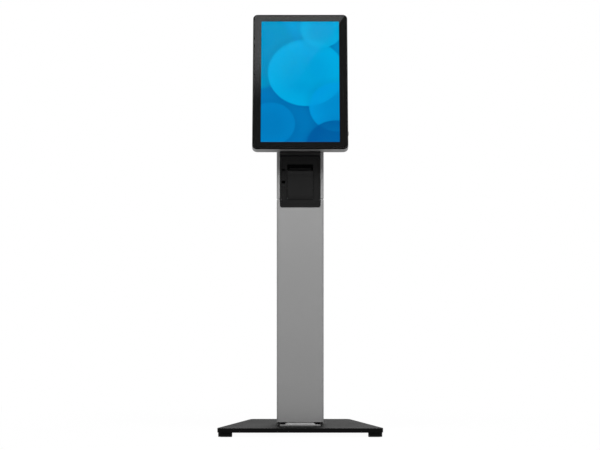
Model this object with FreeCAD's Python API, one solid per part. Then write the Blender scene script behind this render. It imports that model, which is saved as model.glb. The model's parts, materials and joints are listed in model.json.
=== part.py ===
import FreeCAD, Part
import math
import os

# A self-service kiosk on a floor stand: a portrait touchscreen leaning back on a sheet-metal column,
# with a receipt printer let into the column below the screen and a steel plate on four feet.
# Millimetres. X to the right, Y to the back, Z up. The origin is on the floor, at the middle of the plate.

V = FreeCAD.Vector
X_AXIS = V(1, 0, 0)
Y_AXIS = V(0, 1, 0)
Z_AXIS = V(0, 0, 1)

# Base plate and feet
base_front_width = 570.0
base_rear_width = 346.0
base_depth = 450.0
base_corner_radius = 20.0
plate_thickness = 15.0
plate_chamfer = 0.8
foot_height = 14.5
foot_width = 46.0
foot_inset = 2.8
foot_edge_radius = 1.0
foot_corner_radius = 4.0

# Column
column_depth = 150.0
cheek_width = 11.0
column_setback = 109.0
column_corner_radius = 8.0
sheet = 2.0
column_gap = 13.0
seam_rise = 26.5
seam_gap = 1.5
seam_chamfer = 1.6
top_rise = 20.0
cheek_rise = 12.0

# Foot flange of the column
flange_thickness = 5.5
flange_side_step = 11.0
flange_proud = 5.5
upstand_wall = 3.0
upstand_height = 105.0
apron_margin = 36.5
apron_flare = 8.0
apron_setback = 4.0
notch_height = 12.0
notch_depth = 30.0
column_bolt_radius = 4.0
column_bolt_margin = 40.0
column_bolt_spread = 90.0

# Rear door
door_margin = 22.0
door_sill = 58.0
door_head = 25.0
door_overlap = 8.0
door_flange_depth = 8.0
hinge_pin_radius = 1.5
knuckle_radius = 3.2
knuckle_length = 14.0
lock_radius = 9.5
lock_cam_length = 30.0
hinge_inset = 80.0

# Touchscreen
screen_width = 267.8
screen_height = 476.1
side_border = 29.1
end_border = 25.9
head_corner_radius = 16.0
head_depth = 45.0
head_rim_depth = 30.0
head_back_inset = 20.0
head_edge_round = 9.0
head_wall = 2.5
head_lean = 27.0
face_setback = 62.5
face_height = 1208.0
bezel_depth = 6.0
bezel_rim = 3.5
glass_thickness = 3.0
module_side = 12.2
module_end = 9.75
module_depth = 9.8
mask_thickness = 0.4
chassis_thickness = 1.5

# Tilt hinge behind the screen
pivot_standoff = 27.0
pivot_drop = 106.0
shaft_radius = 6.0
ear_thickness = 5.0
ear_radius = 16.0
arm_ear_offset = 30.0
washer_thickness = 1.2
arm_thickness = 4.0
vesa_pitch = 100.0
head_clearance = 17.0

# Port cover under the screen's lower edge
port_cover_width = 136.0
port_cover_drop = 6.5
port_cover_start = 20.0
port_cover_rise = 60.0
port_cover_wall = 2.5

# Receipt printer
surround_frame = 4.5
surround_top_gap = 1.5
surround_sill = 16.0
surround_head = 9.0
surround_proud = 1.0
surround_thickness = 2.5
surround_skirt = 14.0
surround_corner = 7.0
case_wall = 2.5
case_brow = 18.3
cover_margin = 3.75
cover_sill = 9.5
cover_bulge = 4.5
cover_wall = 2.5
slot_height = 18.6
slot_mouth = 6.0
strip_rib_width = 6.6
lever_margin = 1.4
lever_drop = 3.4
lever_width = 11.6
lever_height = 33.6
lever_travel = 9.0
key_size = 9.0
key_travel = 1.2
light_radius = 1.2
roll_radius = 40.0
roll_width = 79.5
roll_front_room = 18.0
roll_rear_room = 28.0
core_radius = 9.0
core_wall = 1.5
platen_radius = 6.0
platen_inset = 1.75
platen_shaft_radius = 2.0
gear_module = 0.8
platen_teeth = 20
pinion_teeth = 12
gear_width = 2.4
motor_radius = 10.0

# Clearances
fit_gap = 0.4
seat_gap = 0.3
slip_gap = 0.2
running_gap = 0.05


# Shape helpers

def block(x0, x1, y0, y1, z0, z1):
    return Part.makeBox(x1 - x0, y1 - y0, z1 - z0, V(x0, y0, z0))


def rod_x(radius, x0, x1, y, z):
    return Part.makeCylinder(radius, x1 - x0, V(x0, y, z), X_AXIS)


def rod_y(radius, y0, y1, x, z):
    return Part.makeCylinder(radius, y1 - y0, V(x, y0, z), Y_AXIS)


def rod_z(radius, z0, z1, x, y):
    return Part.makeCylinder(radius, z1 - z0, V(x, y, z0), Z_AXIS)


def prism(points, sweep):
    corners = [V(*point) for point in points]
    return Part.Face(Part.makePolygon(corners + corners[:1])).extrude(sweep)


def prism_x(points, x0, x1):
    return prism([(x0, y, z) for y, z in points], V(x1 - x0, 0, 0))


def prism_y(points, y0, y1):
    return prism([(x, y0, z) for x, z in points], V(0, y1 - y0, 0))


def prism_z(points, z0, z1):
    return prism([(x, y, z0) for x, y in points], V(0, 0, z1 - z0))


def edges_along(solid, axis, chosen=lambda point: True):
    picked = []
    for edge in solid.Edges:
        run = edge.Vertexes[-1].Point - edge.Vertexes[0].Point
        if run.Length > 1e-6 and run.cross(axis).Length < 1e-6 * run.Length:
            if chosen(edge.CenterOfMass):
                picked.append(edge)
    return picked


def rounded(solid, radius, axis, chosen=lambda point: True):
    return solid.makeFillet(radius, edges_along(solid, axis, chosen))


def joined(*solids):
    return solids[0].multiFuse(list(solids[1:])).removeSplitter()


def group(solids):
    return Part.makeCompound(solids)


def mirrored_x(solid):
    return solid.mirror(V(0, 0, 0), X_AXIS)


def both_sides(solid):
    return [solid, mirrored_x(solid)]


def on_head(solid):
    """The screen's pieces are drawn upright about the middle of its face, then leaned back and lifted."""
    placed = solid.copy()
    placed.rotate(V(0, 0, 0), X_AXIS, -head_lean)
    placed.translate(V(0, face_y, face_height))
    return placed


def head_point(x, y, z):
    lean = math.radians(head_lean)
    return V(x, face_y + y * math.cos(lean) + z * math.sin(lean),
             face_height - y * math.sin(lean) + z * math.cos(lean))


def panel(width, height, radius, y0, y1):
    """An upright slab with rounded corners, centred on the screen's face."""
    slab = block(-width / 2, width / 2, y0, y1, -height / 2, height / 2)
    return rounded(slab, radius, Y_AXIS)


def countersunk(point, inward, shank_radius, shank_length, gap=0.0):
    """A countersunk screw whose flat head lies at point; inward is the way that the shank runs."""
    cone = Part.makeCone(2 * shank_radius + gap, shank_radius + gap, 0.9 * shank_radius, point, inward)
    shank = Part.makeCylinder(shank_radius + gap, shank_length, point, inward)
    return joined(cone, shank)


# Widths, from the paper roll out to the column

cover_width = roll_width + 2 * cover_margin
platen_width = roll_width - 2 * platen_inset
rib_gap = 0.2
rib_cover_gap = 1.2
side_strip = lever_margin + lever_width + rib_gap + strip_rib_width + rib_cover_gap
case_width = cover_width + 2 * side_strip
surround_width = case_width + 2 * surround_frame
column_width = surround_width + 2 * cheek_width
flange_front_width = column_width - 2 * flange_side_step
apron_width = column_width - 2 * apron_margin
door_opening_width = column_width - 2 * door_margin
head_width = screen_width + 2 * side_border
head_height = screen_height + 2 * end_border
module_width = screen_width + 2 * module_side
module_height = screen_height + 2 * module_end


# Levels and places worked out from the sizes

plate_top = foot_height + plate_thickness
base_front = -base_depth / 2
column_front = base_front + column_setback
face_y = column_front + face_setback
column_rear = column_front + column_depth
column_inner_x = column_width / 2 - sheet
column_inner_front = column_front + sheet
column_inner_rear = column_rear - sheet
column_bottom = plate_top + column_gap

pivot = head_point(0, head_depth + pivot_standoff, -pivot_drop)
upper_shell_top = pivot.z + top_rise

lean_sin = math.sin(math.radians(head_lean))
lean_cos = math.cos(math.radians(head_lean))
slope_start = face_height + ((column_front - face_y) * lean_cos - head_depth - head_clearance) / lean_sin

cheek_top = slope_start + cheek_rise
surround_top = slope_start - surround_top_gap
surround_front = column_front - surround_proud
case_top = surround_top - surround_head
cover_height = 2 * roll_radius + 21.9
slot_top = case_top - case_brow
cover_top = slot_top - slot_height
cover_bottom = cover_top - cover_height
case_bottom = cover_bottom - cover_sill
surround_bottom = case_bottom - surround_sill
seam_height = surround_bottom + seam_rise
upper_shell_bottom = seam_height + seam_gap
case_front = column_front + 0.5
case_rear = case_front + roll_front_room + 2 * roll_radius + roll_rear_room
cutter_bottom = cover_top + slot_mouth
cutter_top = slot_top - fit_gap
tray_top = case_bottom

cover_hinge_y = case_front + 1.6
cover_hinge_z = cover_bottom + 3.8
cover_pin_radius = 1.5
platen_y = case_front + 14.6
platen_z = cover_top - 9.6
roll_y = case_front + roll_front_room + roll_radius
roll_z = cover_bottom + roll_radius + 3.6

gear_distance = gear_module * (platen_teeth + pinion_teeth) / 2 + 0.1
swing_y = platen_y - cover_hinge_y
swing_z = platen_z - cover_hinge_z
swing_length = math.hypot(swing_y, swing_z)
pinion_y = platen_y + gear_distance * swing_z / swing_length
pinion_z = platen_z - gear_distance * swing_y / swing_length
gear_x = cover_width / 2 - gear_width - 0.3
frame_x = cover_width / 2 + 0.6
frame_thickness = 1.2


# Base plate

def base_outline(inset):
    """The plate's trapezoid, drawn in by inset on every side."""
    slant = math.atan2((base_front_width - base_rear_width) / 2, base_depth)
    side_step = inset / math.cos(slant)
    front_half = base_front_width / 2 - side_step - inset * math.tan(slant)
    rear_half = base_rear_width / 2 - side_step + inset * math.tan(slant)
    front = base_front + inset
    rear = base_front + base_depth - inset
    return [(-front_half, front), (front_half, front), (rear_half, rear), (-rear_half, rear)]


def base_block(inset, z0, z1):
    slab = prism_z(base_outline(inset), z0, z1)
    return rounded(slab, base_corner_radius - inset, Z_AXIS)


foot_rear_y = base_front + base_depth - foot_inset - foot_width / 2
foot_front_y = base_front + foot_inset + foot_width / 2


def foot_x(y):
    """The middle of a foot that follows the plate's slanted side."""
    outline = base_outline(foot_inset)
    front_half, rear_half = outline[1][0], outline[2][0]
    share = (y - outline[1][1]) / (outline[2][1] - outline[1][1])
    return front_half + share * (rear_half - front_half) - foot_width / 2


foot_centres = [(side * foot_x(y), y) for y in (foot_front_y, foot_rear_y) for side in (-1, 1)]
foot_screw_radius = 2.5
foot_screw_end = foot_height + plate_thickness - 6.0
foot_recess = 4.0
foot_recess_radius = 6.0
foot_screw_head_radius = 5.0
foot_screw_head_height = 3.0
column_middle_y = (column_front + column_rear) / 2
bolt_head_height = 5.3
bolt_head_radius = 7.0
bolt_recess = 6.0
column_bolt_x = column_inner_x - column_bolt_margin
column_bolt_rows = (column_middle_y - column_bolt_spread / 2, column_middle_y + column_bolt_spread / 2)
column_bolt_places = [(x, y) for x in (-column_bolt_x, column_bolt_x) for y in column_bolt_rows]
column_nut_radius = 6.5
column_nut_height = 6.5


def base_plate():
    plate = base_block(0, foot_height, plate_top)
    plate = plate.makeChamfer(plate_chamfer, [edge for edge in plate.Edges
                                              if abs(edge.CenterOfMass.z - plate_top) < 1e-6])
    for x, y in foot_centres:
        plate = plate.cut(rod_z(foot_screw_radius, foot_height - 1, foot_screw_end, x, y))
    for x, y in column_bolt_places:
        plate = plate.cut(rod_z(column_bolt_radius + slip_gap, foot_height - 1, plate_top + 1, x, y))
        plate = plate.cut(rod_z(bolt_head_radius + 1, foot_height - 1, foot_height + bolt_recess, x, y))
    return plate


def foot(place):
    """A rubber foot whose two outer sides follow the plate's outline."""
    x, y = place
    inner_x = x - math.copysign(foot_width / 2, x)
    inner_y = y - math.copysign(foot_width / 2, y)
    x_ends = sorted((inner_x, math.copysign(base_front_width, x)))
    y_ends = sorted((inner_y, math.copysign(base_depth, y)))
    corner = block(*x_ends, *y_ends, 0, foot_height)
    pad = corner.common(base_block(foot_inset, 0, foot_height)).removeSplitter()
    pad = rounded(pad, foot_corner_radius, Z_AXIS,
                  lambda point: abs(point.x - inner_x) < 1e-6 or abs(point.y - inner_y) < 1e-6)
    pad = pad.makeFillet(foot_edge_radius, [edge for edge in pad.Edges if edge.CenterOfMass.z < 1e-6])
    pad = pad.cut(rod_z(foot_recess_radius, -1, foot_recess, x, y))
    return pad.cut(rod_z(foot_screw_radius + slip_gap, 0, foot_height + 1, x, y))


def foot_screws():
    screws = []
    for x, y in foot_centres:
        head = rod_z(foot_screw_head_radius, foot_recess - foot_screw_head_height, foot_recess, x, y)
        socket = rod_z(1.6, foot_recess - 4.0, foot_recess - 1.2, x, y)
        shank = rod_z(foot_screw_radius, foot_recess - 1, foot_screw_end, x, y)
        screws.append(joined(head, shank).cut(socket))
    return group(screws)


# Column foot: flange plate with an upstand inside the column and a sloping apron at the front

flange_top = plate_top + flange_thickness
grommet_z = column_bottom + 26.0
grommet_radius = 11.0


def column_foot():
    inner = column_inner_x - seat_gap
    front = column_front - flange_proud
    rear = column_inner_rear - seat_gap
    wall_front = column_inner_front + seat_gap
    notch_rear = wall_front + notch_depth
    half_front = flange_front_width / 2
    flange = prism_z([(-half_front, front), (half_front, front), (half_front, notch_rear), (inner, notch_rear),
                      (inner, rear), (-inner, rear), (-inner, notch_rear), (-half_front, notch_rear)],
                     plate_top, flange_top)
    upstand_top = flange_top + upstand_height
    outer = rounded(block(-inner, inner, wall_front, rear, plate_top, upstand_top),
                    column_corner_radius - sheet, Z_AXIS)
    hollow = block(-inner + upstand_wall, inner - upstand_wall, wall_front + upstand_wall,
                   rear - upstand_wall, plate_top - 1, upstand_top + 1)
    upstand = outer.cut(hollow)
    door_half = door_opening_width / 2 + 2.0
    upstand = upstand.cut(block(-door_half, door_half, rear - upstand_wall - 1, rear + 1,
                                column_bottom + door_sill - 2.0, upstand_top + 1))
    upstand = upstand.cut(rod_y(grommet_radius + 6.0, rear - upstand_wall - 1, rear + 1, 0, grommet_z))
    notch_top = column_bottom + notch_height
    half_top = apron_width / 2
    half_foot = half_top + apron_flare
    for side in (-1, 1):
        notch = prism_y([(side * half_foot, flange_top), (side * half_top, column_bottom),
                         (side * half_top, notch_top), (side * (inner + 1), notch_top),
                         (side * (inner + 1), plate_top - 1), (side * half_front, plate_top - 1),
                         (side * half_front, flange_top)], wall_front - 1, notch_rear)
        upstand = upstand.cut(notch)
    apron = prism_x([(front + apron_setback, flange_top), (wall_front + upstand_wall, flange_top),
                     (wall_front + upstand_wall, column_bottom), (wall_front, column_bottom)],
                    -half_foot, half_foot)
    apron_trim = prism_y([(-half_foot, flange_top - 1), (half_foot, flange_top - 1), (half_foot, flange_top),
                          (half_top, column_bottom), (-half_top, column_bottom),
                          (-half_foot, flange_top)], front - 1, wall_front + upstand_wall + 1)
    body = joined(flange, upstand, apron.common(apron_trim))
    for x, y in column_bolt_places:
        body = body.cut(rod_z(column_bolt_radius + slip_gap, plate_top - 1, flange_top + 1, x, y))
    for screw in foot_side_screws(0):
        body = body.cut(screw)
    return body


def column_bolts():
    bolts = []
    for x, y in column_bolt_places:
        head_top = foot_height + bolt_recess
        head = rod_z(bolt_head_radius, head_top - bolt_head_height, head_top, x, y)
        socket = rod_z(3.0, head_top - bolt_head_height - 1, head_top - 2.0, x, y)
        shank = rod_z(column_bolt_radius, head_top - 1, flange_top + 9.0, x, y)
        nut = hexagon(column_nut_radius, flange_top, flange_top + column_nut_height, x, y)
        bolts.append(joined(head, shank, nut).cut(socket))
    return group(bolts)


def hexagon(radius, z0, z1, x, y):
    across = radius / math.cos(math.pi / 6)
    points = [(x + across * math.cos(math.radians(60 * turn)), y + across * math.sin(math.radians(60 * turn)))
              for turn in range(6)]
    return prism_z(points, z0, z1)


# Column shells

def column_slab(z0, z1):
    """The column's outline filled in."""
    slab = block(-column_width / 2, column_width / 2, column_front, column_rear, z0, z1)
    return rounded(slab, column_corner_radius, Z_AXIS)


def shell_tube(z0, z1):
    inner = block(-column_inner_x, column_inner_x, column_inner_front, column_inner_rear, z0 - 1, z1 + 1)
    return column_slab(z0, z1).cut(rounded(inner, column_corner_radius - sheet, Z_AXIS))


def seam_bevel(z_edge, way):
    """What the chamfer takes off a shell's outer edge at z_edge; way is 1 where the shell lies below it."""
    z0, z1 = sorted((z_edge, z_edge - 2 * way * seam_chamfer))
    slab = column_slab(z0, z1)
    return slab.cut(slab.makeChamfer(seam_chamfer, [edge for edge in slab.Edges
                                                    if abs(edge.CenterOfMass.z - z_edge) < 1e-6]))


door_bottom = column_bottom + door_sill - door_overlap
door_opening_bottom = column_bottom + door_sill
door_opening_top = surround_bottom - door_head
door_top = door_opening_top + door_overlap
door_opening_left = -door_opening_width / 2
door_opening_right = door_opening_width / 2
surround_hole_half = surround_width / 2 + fit_gap
tray_front = surround_front + surround_skirt + 2.0
tray_rear = column_rear - column_corner_radius
tray_drop = 17.0
tray_rise = 60.0
shell_screw_radius = 2.0
shell_screw_inset = 24.0
shell_screw_levels = (tray_top - 8.0, upper_shell_bottom + 16.0)
shell_screw_rows = (tray_front + shell_screw_inset, tray_rear - shell_screw_inset)
foot_screw_level = flange_top + upstand_height - 25.0


def shell_screw_set(gap):
    screws = []
    for z in shell_screw_levels:
        for y in shell_screw_rows:
            for side in (-1, 1):
                point = V(side * column_width / 2, y, z)
                screws.append(countersunk(point, V(-side, 0, 0), shell_screw_radius, 7.0, gap))
    return screws


def column_body():
    shell = shell_tube(column_bottom, seam_height).cut(seam_bevel(seam_height, 1))
    hole_bottom = surround_bottom - fit_gap
    front_cut = block(-surround_hole_half, surround_hole_half, column_front - 1,
                      column_front + column_corner_radius, hole_bottom, seam_height + 1)
    front_cut = rounded(front_cut, surround_corner + fit_gap, Y_AXIS, lambda point: point.z < hole_bottom + 1)
    shell = shell.cut(front_cut)
    shell = shell.cut(block(door_opening_left, door_opening_right, column_inner_rear - 1, column_rear + 1,
                            door_opening_bottom, door_opening_top))
    shell = shell.cut(rod_y(grommet_radius, column_inner_rear - 1, column_rear + 1, 0, grommet_z))
    for screw in shell_screw_set(slip_gap):
        shell = shell.cut(screw)
    for screw in foot_side_screws(slip_gap):
        shell = shell.cut(screw)
    return shell


def foot_side_screws(gap):
    screws = []
    for y in column_bolt_rows:
        for side in (-1, 1):
            point = V(side * column_width / 2, y, foot_screw_level)
            screws.append(countersunk(point, V(-side, 0, 0), shell_screw_radius, 8.0, gap))
    return screws


bracket_plate_drop = 110.0
bracket_plate_rise = 6.0
bracket_plate_half = column_inner_x - 12.0
bracket_plate_thickness = 3.0
bracket_web_drop = 85.0
bracket_screw_levels = (pivot.z - bracket_plate_drop + 20.0, pivot.z - 30.0)
bracket_screw_x = bracket_plate_half - 20.0


def bracket_screw_set(gap):
    screws = []
    for z in bracket_screw_levels:
        for x in (-bracket_screw_x, bracket_screw_x):
            screws.append(countersunk(V(x, column_rear, z), V(0, -1, 0), shell_screw_radius, 9.0, gap))
    return screws


vent_count = 5
vent_pitch = 12.0
vent_height = 4.0
vent_width = 70.0
vent_rise = 70.0


def upper_shell():
    shell = shell_tube(upper_shell_bottom, upper_shell_top).cut(seam_bevel(upper_shell_bottom, -1))
    shell = shell.cut(block(-surround_hole_half, surround_hole_half, column_front - 1,
                            column_front + column_corner_radius, upper_shell_bottom - 1, upper_shell_top + 1))
    in_front = block(-column_width, column_width, -2 * head_height, head_depth + head_clearance,
                     -head_height, head_height)
    below_cheeks = block(-2 * column_width, 2 * column_width, -2 * head_height, column_rear, 0, cheek_top)
    shell = shell.cut(on_head(in_front).cut(below_cheeks))
    for row in range(vent_count):
        z = upper_shell_bottom + vent_rise + row * vent_pitch
        slot = block(-vent_width / 2, vent_width / 2, column_inner_rear - 1, column_rear + 1, z, z + vent_height)
        shell = shell.cut(rounded(slot, vent_height / 2 - 0.01, Y_AXIS))
    for screw in shell_screw_set(slip_gap) + bracket_screw_set(slip_gap):
        shell = shell.cut(screw)
    return shell


cap_thickness = 2.5
skirt_depth = 9.0
cap_front = pivot.y + ear_radius + 6.0


def top_cap():
    """Plastic cap on the upper shell's flat top, with a skirt inside the sheet."""
    lid = column_slab(upper_shell_top, upper_shell_top + cap_thickness)
    lid = lid.common(block(-column_width, column_width, cap_front, column_rear + 1,
                           upper_shell_top - 1, upper_shell_top + cap_thickness + 1))
    lid = lid.makeChamfer(1.0, [edge for edge in lid.Edges
                                if abs(edge.CenterOfMass.z - upper_shell_top - cap_thickness) < 1e-6])
    skirt_x = column_inner_x - seat_gap
    skirt = block(-skirt_x, skirt_x, cap_front, column_inner_rear - seat_gap,
                  upper_shell_top - skirt_depth, upper_shell_top)
    skirt = rounded(skirt, column_corner_radius - sheet, Z_AXIS, lambda point: point.y > cap_front + 1)
    skirt = skirt.cut(block(-skirt_x + 2, skirt_x - 2, cap_front - 1, column_inner_rear - seat_gap - 2,
                            upper_shell_top - skirt_depth - 1, upper_shell_top))
    return joined(lid, skirt)


guard_inset = 4.0
guard_thickness = 2.0
guard_slot_width = 60.0
guard_slot_height = 24.0
guard_lip = 14.0
guard_top = -pivot_drop - ear_radius - 26.0
guard_bottom = -(face_height - surround_top) / lean_cos + 46.0
guard_slot_level = guard_top - 34.0


def cable_guard():
    """Sheet inside the sloping cut, which closes the column behind the screen and lets the leads through."""
    y0 = head_depth + head_clearance + guard_inset
    half = column_inner_x - seat_gap
    sheet_panel = block(-half, half, y0, y0 + guard_thickness, guard_bottom, guard_top)
    lip = block(half - guard_thickness, half, y0, y0 + guard_lip, guard_bottom, guard_top)
    slot = block(-guard_slot_width / 2, guard_slot_width / 2, y0 - 1, y0 + guard_thickness + 1,
                 guard_slot_level - guard_slot_height / 2, guard_slot_level + guard_slot_height / 2)
    return on_head(joined(sheet_panel, *both_sides(lip)).cut(rounded(slot, 4.0, Y_AXIS)))


def printer_tray():
    """Folded steel tray under the printer; its sides join the two column shells."""
    outer = column_inner_x - slip_gap
    floor = block(-outer, outer, tray_front, tray_rear, tray_top - sheet, tray_top)
    side = block(outer - sheet, outer, tray_front, tray_rear, tray_top - tray_drop, tray_top + tray_rise)
    tray = joined(floor, *both_sides(side))
    tray = tray.cut(block(-20, 20, tray_rear - 26.0, tray_rear - 8.0, tray_top - sheet - 1, tray_top + 1))
    for screw in shell_screw_set(0):
        tray = tray.cut(screw)
    return tray


# Rear door, its hinges and its lock

door_thickness = 2.0
door_y0 = column_rear + seat_gap
door_y1 = door_y0 + door_thickness
door_left = door_opening_left - 1.0
door_right = door_opening_right + door_overlap
hinge_x = door_left - 4.0
hinge_leaf = 1.5
hinge_y = column_rear + hinge_leaf + knuckle_radius
hinge_levels = (door_opening_bottom + hinge_inset, door_opening_top - hinge_inset)
lock_x = door_opening_right - lock_radius - 6.5
lock_z = (door_opening_bottom + door_opening_top) / 2


def rear_door():
    plate = block(door_left, door_right, door_y0, door_y1, door_bottom, door_top)
    plate = rounded(plate, 3.0, Y_AXIS)
    ribs = [block(x, x + door_thickness, door_y0 - door_flange_depth, door_y0, door_opening_bottom + 8,
                  door_opening_top - 8) for x in (door_opening_left + 5, door_opening_right - 6)]
    door = joined(plate, *ribs).cut(rod_y(lock_radius + slip_gap, door_y0 - 1, door_y1 + 1, lock_x, lock_z))
    cam_sweep = block(lock_x, door_opening_right, door_y0 - door_flange_depth - 1, door_y0,
                      lock_z - lock_cam_length - 2, lock_z + lock_radius)
    return door.cut(cam_sweep)


def hinge_barrel(z0, z1):
    barrel = rod_z(knuckle_radius, z0, z1, hinge_x, hinge_y)
    return barrel.cut(rod_z(hinge_pin_radius + running_gap, z0 - 1, z1 + 1, hinge_x, hinge_y))


def column_hinge_leaves():
    leaves = []
    half = 1.5 * knuckle_length
    for level in hinge_levels:
        plate = block(-column_inner_x + 6, hinge_x, column_rear, column_rear + hinge_leaf,
                      level - half, level + half)
        solids = [plate]
        for z0 in (level - half, level + knuckle_length / 2):
            web = block(hinge_x - knuckle_radius, hinge_x, column_rear, hinge_y, z0, z0 + knuckle_length)
            solids.append(web)
            solids.append(rod_z(knuckle_radius, z0, z0 + knuckle_length, hinge_x, hinge_y))
        pin_hole = rod_z(hinge_pin_radius, level - half - 1, level + half + 1, hinge_x, hinge_y)
        leaves.append(joined(*solids).cut(pin_hole))
    return group(leaves)


def door_hinge_leaves():
    leaves = []
    half = knuckle_length / 2 - slip_gap
    for level in hinge_levels:
        plate = block(hinge_x, door_left + 22.0, door_y1, door_y1 + hinge_leaf, level - half, level + half)
        barrel = rod_z(knuckle_radius, level - half, level + half, hinge_x, hinge_y)
        pin_hole = rod_z(hinge_pin_radius + running_gap, level - half - 1, level + half + 1, hinge_x, hinge_y)
        leaves.append(joined(plate, barrel).cut(pin_hole))
    return group(leaves)


def hinge_pins():
    half = 1.5 * knuckle_length
    return group([rod_z(hinge_pin_radius, level - half, level + half, hinge_x, hinge_y) for level in hinge_levels])


lock_cam_y = column_inner_rear - 1.0
lock_inner_end = lock_cam_y - 6.0


def door_lock():
    """Cam lock: barrel, collar and cam turn together, with the cam hanging down when unlocked."""
    collar = rod_y(lock_radius + 2.5, door_y1 + seat_gap, door_y1 + 2.2, lock_x, lock_z)
    barrel = rod_y(lock_radius, lock_inner_end, door_y1 + 2.2, lock_x, lock_z)
    keyway = block(lock_x - 0.6, lock_x + 0.6, door_y1 - 3.0, door_y1 + 3.0, lock_z - 3.2, lock_z + 3.2)
    cam = block(lock_x - 5.0, lock_x + 5.0, lock_cam_y - 2.0, lock_cam_y, lock_z - lock_cam_length, lock_z)
    cam = rounded(cam, 4.0, Y_AXIS, lambda point: point.z < lock_z - 10)
    return joined(collar, barrel, cam).cut(keyway)


# Pieces inside the lower column

shelf_top = flange_top + upstand_height + 24.0
adapter_length = 150.0
adapter_width = 62.0
adapter_height = 36.0


def adapter_shelf():
    """Folded shelf on the column's front wall that carries the power adapter on end."""
    half = 40.0
    depth = adapter_height + 14.0
    back = block(-half, half, column_inner_front, column_inner_front + sheet, shelf_top - 20.0,
                 shelf_top + adapter_length * 0.7)
    floor = block(-half, half, column_inner_front, column_inner_front + depth, shelf_top - sheet, shelf_top)
    lip = block(-half, half, column_inner_front + depth - sheet, column_inner_front + depth,
                shelf_top - sheet, shelf_top + 12.0)
    return joined(back, floor, lip)


adapter_y = column_inner_front + sheet


def power_adapter():
    brick = block(-adapter_width / 2, adapter_width / 2, adapter_y, adapter_y + adapter_height,
                  shelf_top, shelf_top + adapter_length)
    brick = rounded(brick, 6.0, Z_AXIS)
    socket = block(-12, 12, adapter_y + 9, adapter_y + 26, shelf_top + adapter_length - 14.0,
                   shelf_top + adapter_length + 1)
    return brick.cut(socket)


def adapter_strap():
    """Hook-and-loop strap round the adapter and the shelf's back."""
    z0 = shelf_top + adapter_length * 0.42
    z1 = z0 + 20.0
    thickness = 1.5
    half = adapter_width / 2
    reach = 39.0
    across = block(-half - thickness, half + thickness, adapter_y + adapter_height,
                   adapter_y + adapter_height + thickness, z0, z1)
    side = block(half, half + thickness, adapter_y, adapter_y + adapter_height, z0, z1)
    tail = block(half, reach, adapter_y, adapter_y + thickness, z0, z1)
    return joined(across, side, mirrored_x(side), tail, mirrored_x(tail))


def cable_grommet():
    flange_radius = grommet_radius + 3.0
    outer = rod_y(flange_radius, column_rear, column_rear + 1.8, 0, grommet_z)
    inner = rod_y(flange_radius, column_inner_rear - 1.8, column_inner_rear, 0, grommet_z)
    neck = rod_y(grommet_radius, column_inner_rear - 1, column_rear + 1, 0, grommet_z)
    bore = rod_y(grommet_radius - 3.0, column_inner_rear - 5, column_rear + 5, 0, grommet_z)
    return joined(outer, inner, neck).cut(bore)


# Tilt hinge

arm_face = head_depth
arm_ear_outer = arm_ear_offset + ear_thickness
bracket_ear_inner = arm_ear_outer + washer_thickness + 2 * slip_gap
bracket_ear_outer = bracket_ear_inner + ear_thickness


def column_bracket():
    """Steel bracket on the column's rear wall; its two ears hold the pivot shaft."""
    plate_y0 = column_inner_rear - bracket_plate_thickness
    plate = block(-bracket_plate_half, bracket_plate_half, plate_y0, column_inner_rear,
                  pivot.z - bracket_plate_drop, pivot.z + bracket_plate_rise)
    ear = prism_x([(pivot.y, pivot.z + ear_radius), (pivot.y, pivot.z - ear_radius),
                   (plate_y0, pivot.z - bracket_web_drop), (plate_y0, pivot.z + bracket_plate_rise)],
                  bracket_ear_inner, bracket_ear_outer)
    ear = joined(ear, rod_x(ear_radius, bracket_ear_inner, bracket_ear_outer, pivot.y, pivot.z))
    bracket = joined(plate, *both_sides(ear))
    bracket = bracket.cut(rod_x(shaft_radius, -column_width, column_width, pivot.y, pivot.z))
    for screw in bracket_screw_set(0):
        bracket = bracket.cut(screw)
    return bracket


pivot_nut_corner = shaft_radius + 5.0
pivot_nut_width = 7.0


def pivot_shaft():
    end = bracket_ear_outer + pivot_nut_width + 2.0
    return rod_x(shaft_radius, -end, end, pivot.y, pivot.z)


def pivot_nuts():
    turns = [math.radians(60 * turn) for turn in range(6)]
    nut = prism_x([(pivot.y + pivot_nut_corner * math.cos(turn), pivot.z + pivot_nut_corner * math.sin(turn))
                   for turn in turns], bracket_ear_outer, bracket_ear_outer + pivot_nut_width)
    hole = rod_x(shaft_radius, bracket_ear_outer - 1, bracket_ear_outer + pivot_nut_width + 1, pivot.y, pivot.z)
    return group(both_sides(nut.cut(hole)))


def friction_washers():
    start = arm_ear_outer + slip_gap
    washer = rod_x(ear_radius - 3.0, start, start + washer_thickness, pivot.y, pivot.z)
    washer = washer.cut(rod_x(shaft_radius, start - 1, start + washer_thickness + 1, pivot.y, pivot.z))
    return group(both_sides(washer))


arm_bottom = -pivot_drop - 24.0
arm_top = vesa_pitch / 2 + 14.0
arm_half = vesa_pitch / 2 + 8.0
arm_screw_radius = 2.0
arm_screw_cap_radius = 3.8
arm_screw_cap_height = 2.4
arm_screw_depth = 8.0
arm_screw_places = [(x, z) for x in (-vesa_pitch / 2, vesa_pitch / 2) for z in (-vesa_pitch / 2, vesa_pitch / 2)]


def arm_screw_set(radius, length):
    return [rod_y(radius, arm_face - length, arm_face + arm_thickness, x, z) for x, z in arm_screw_places]


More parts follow.
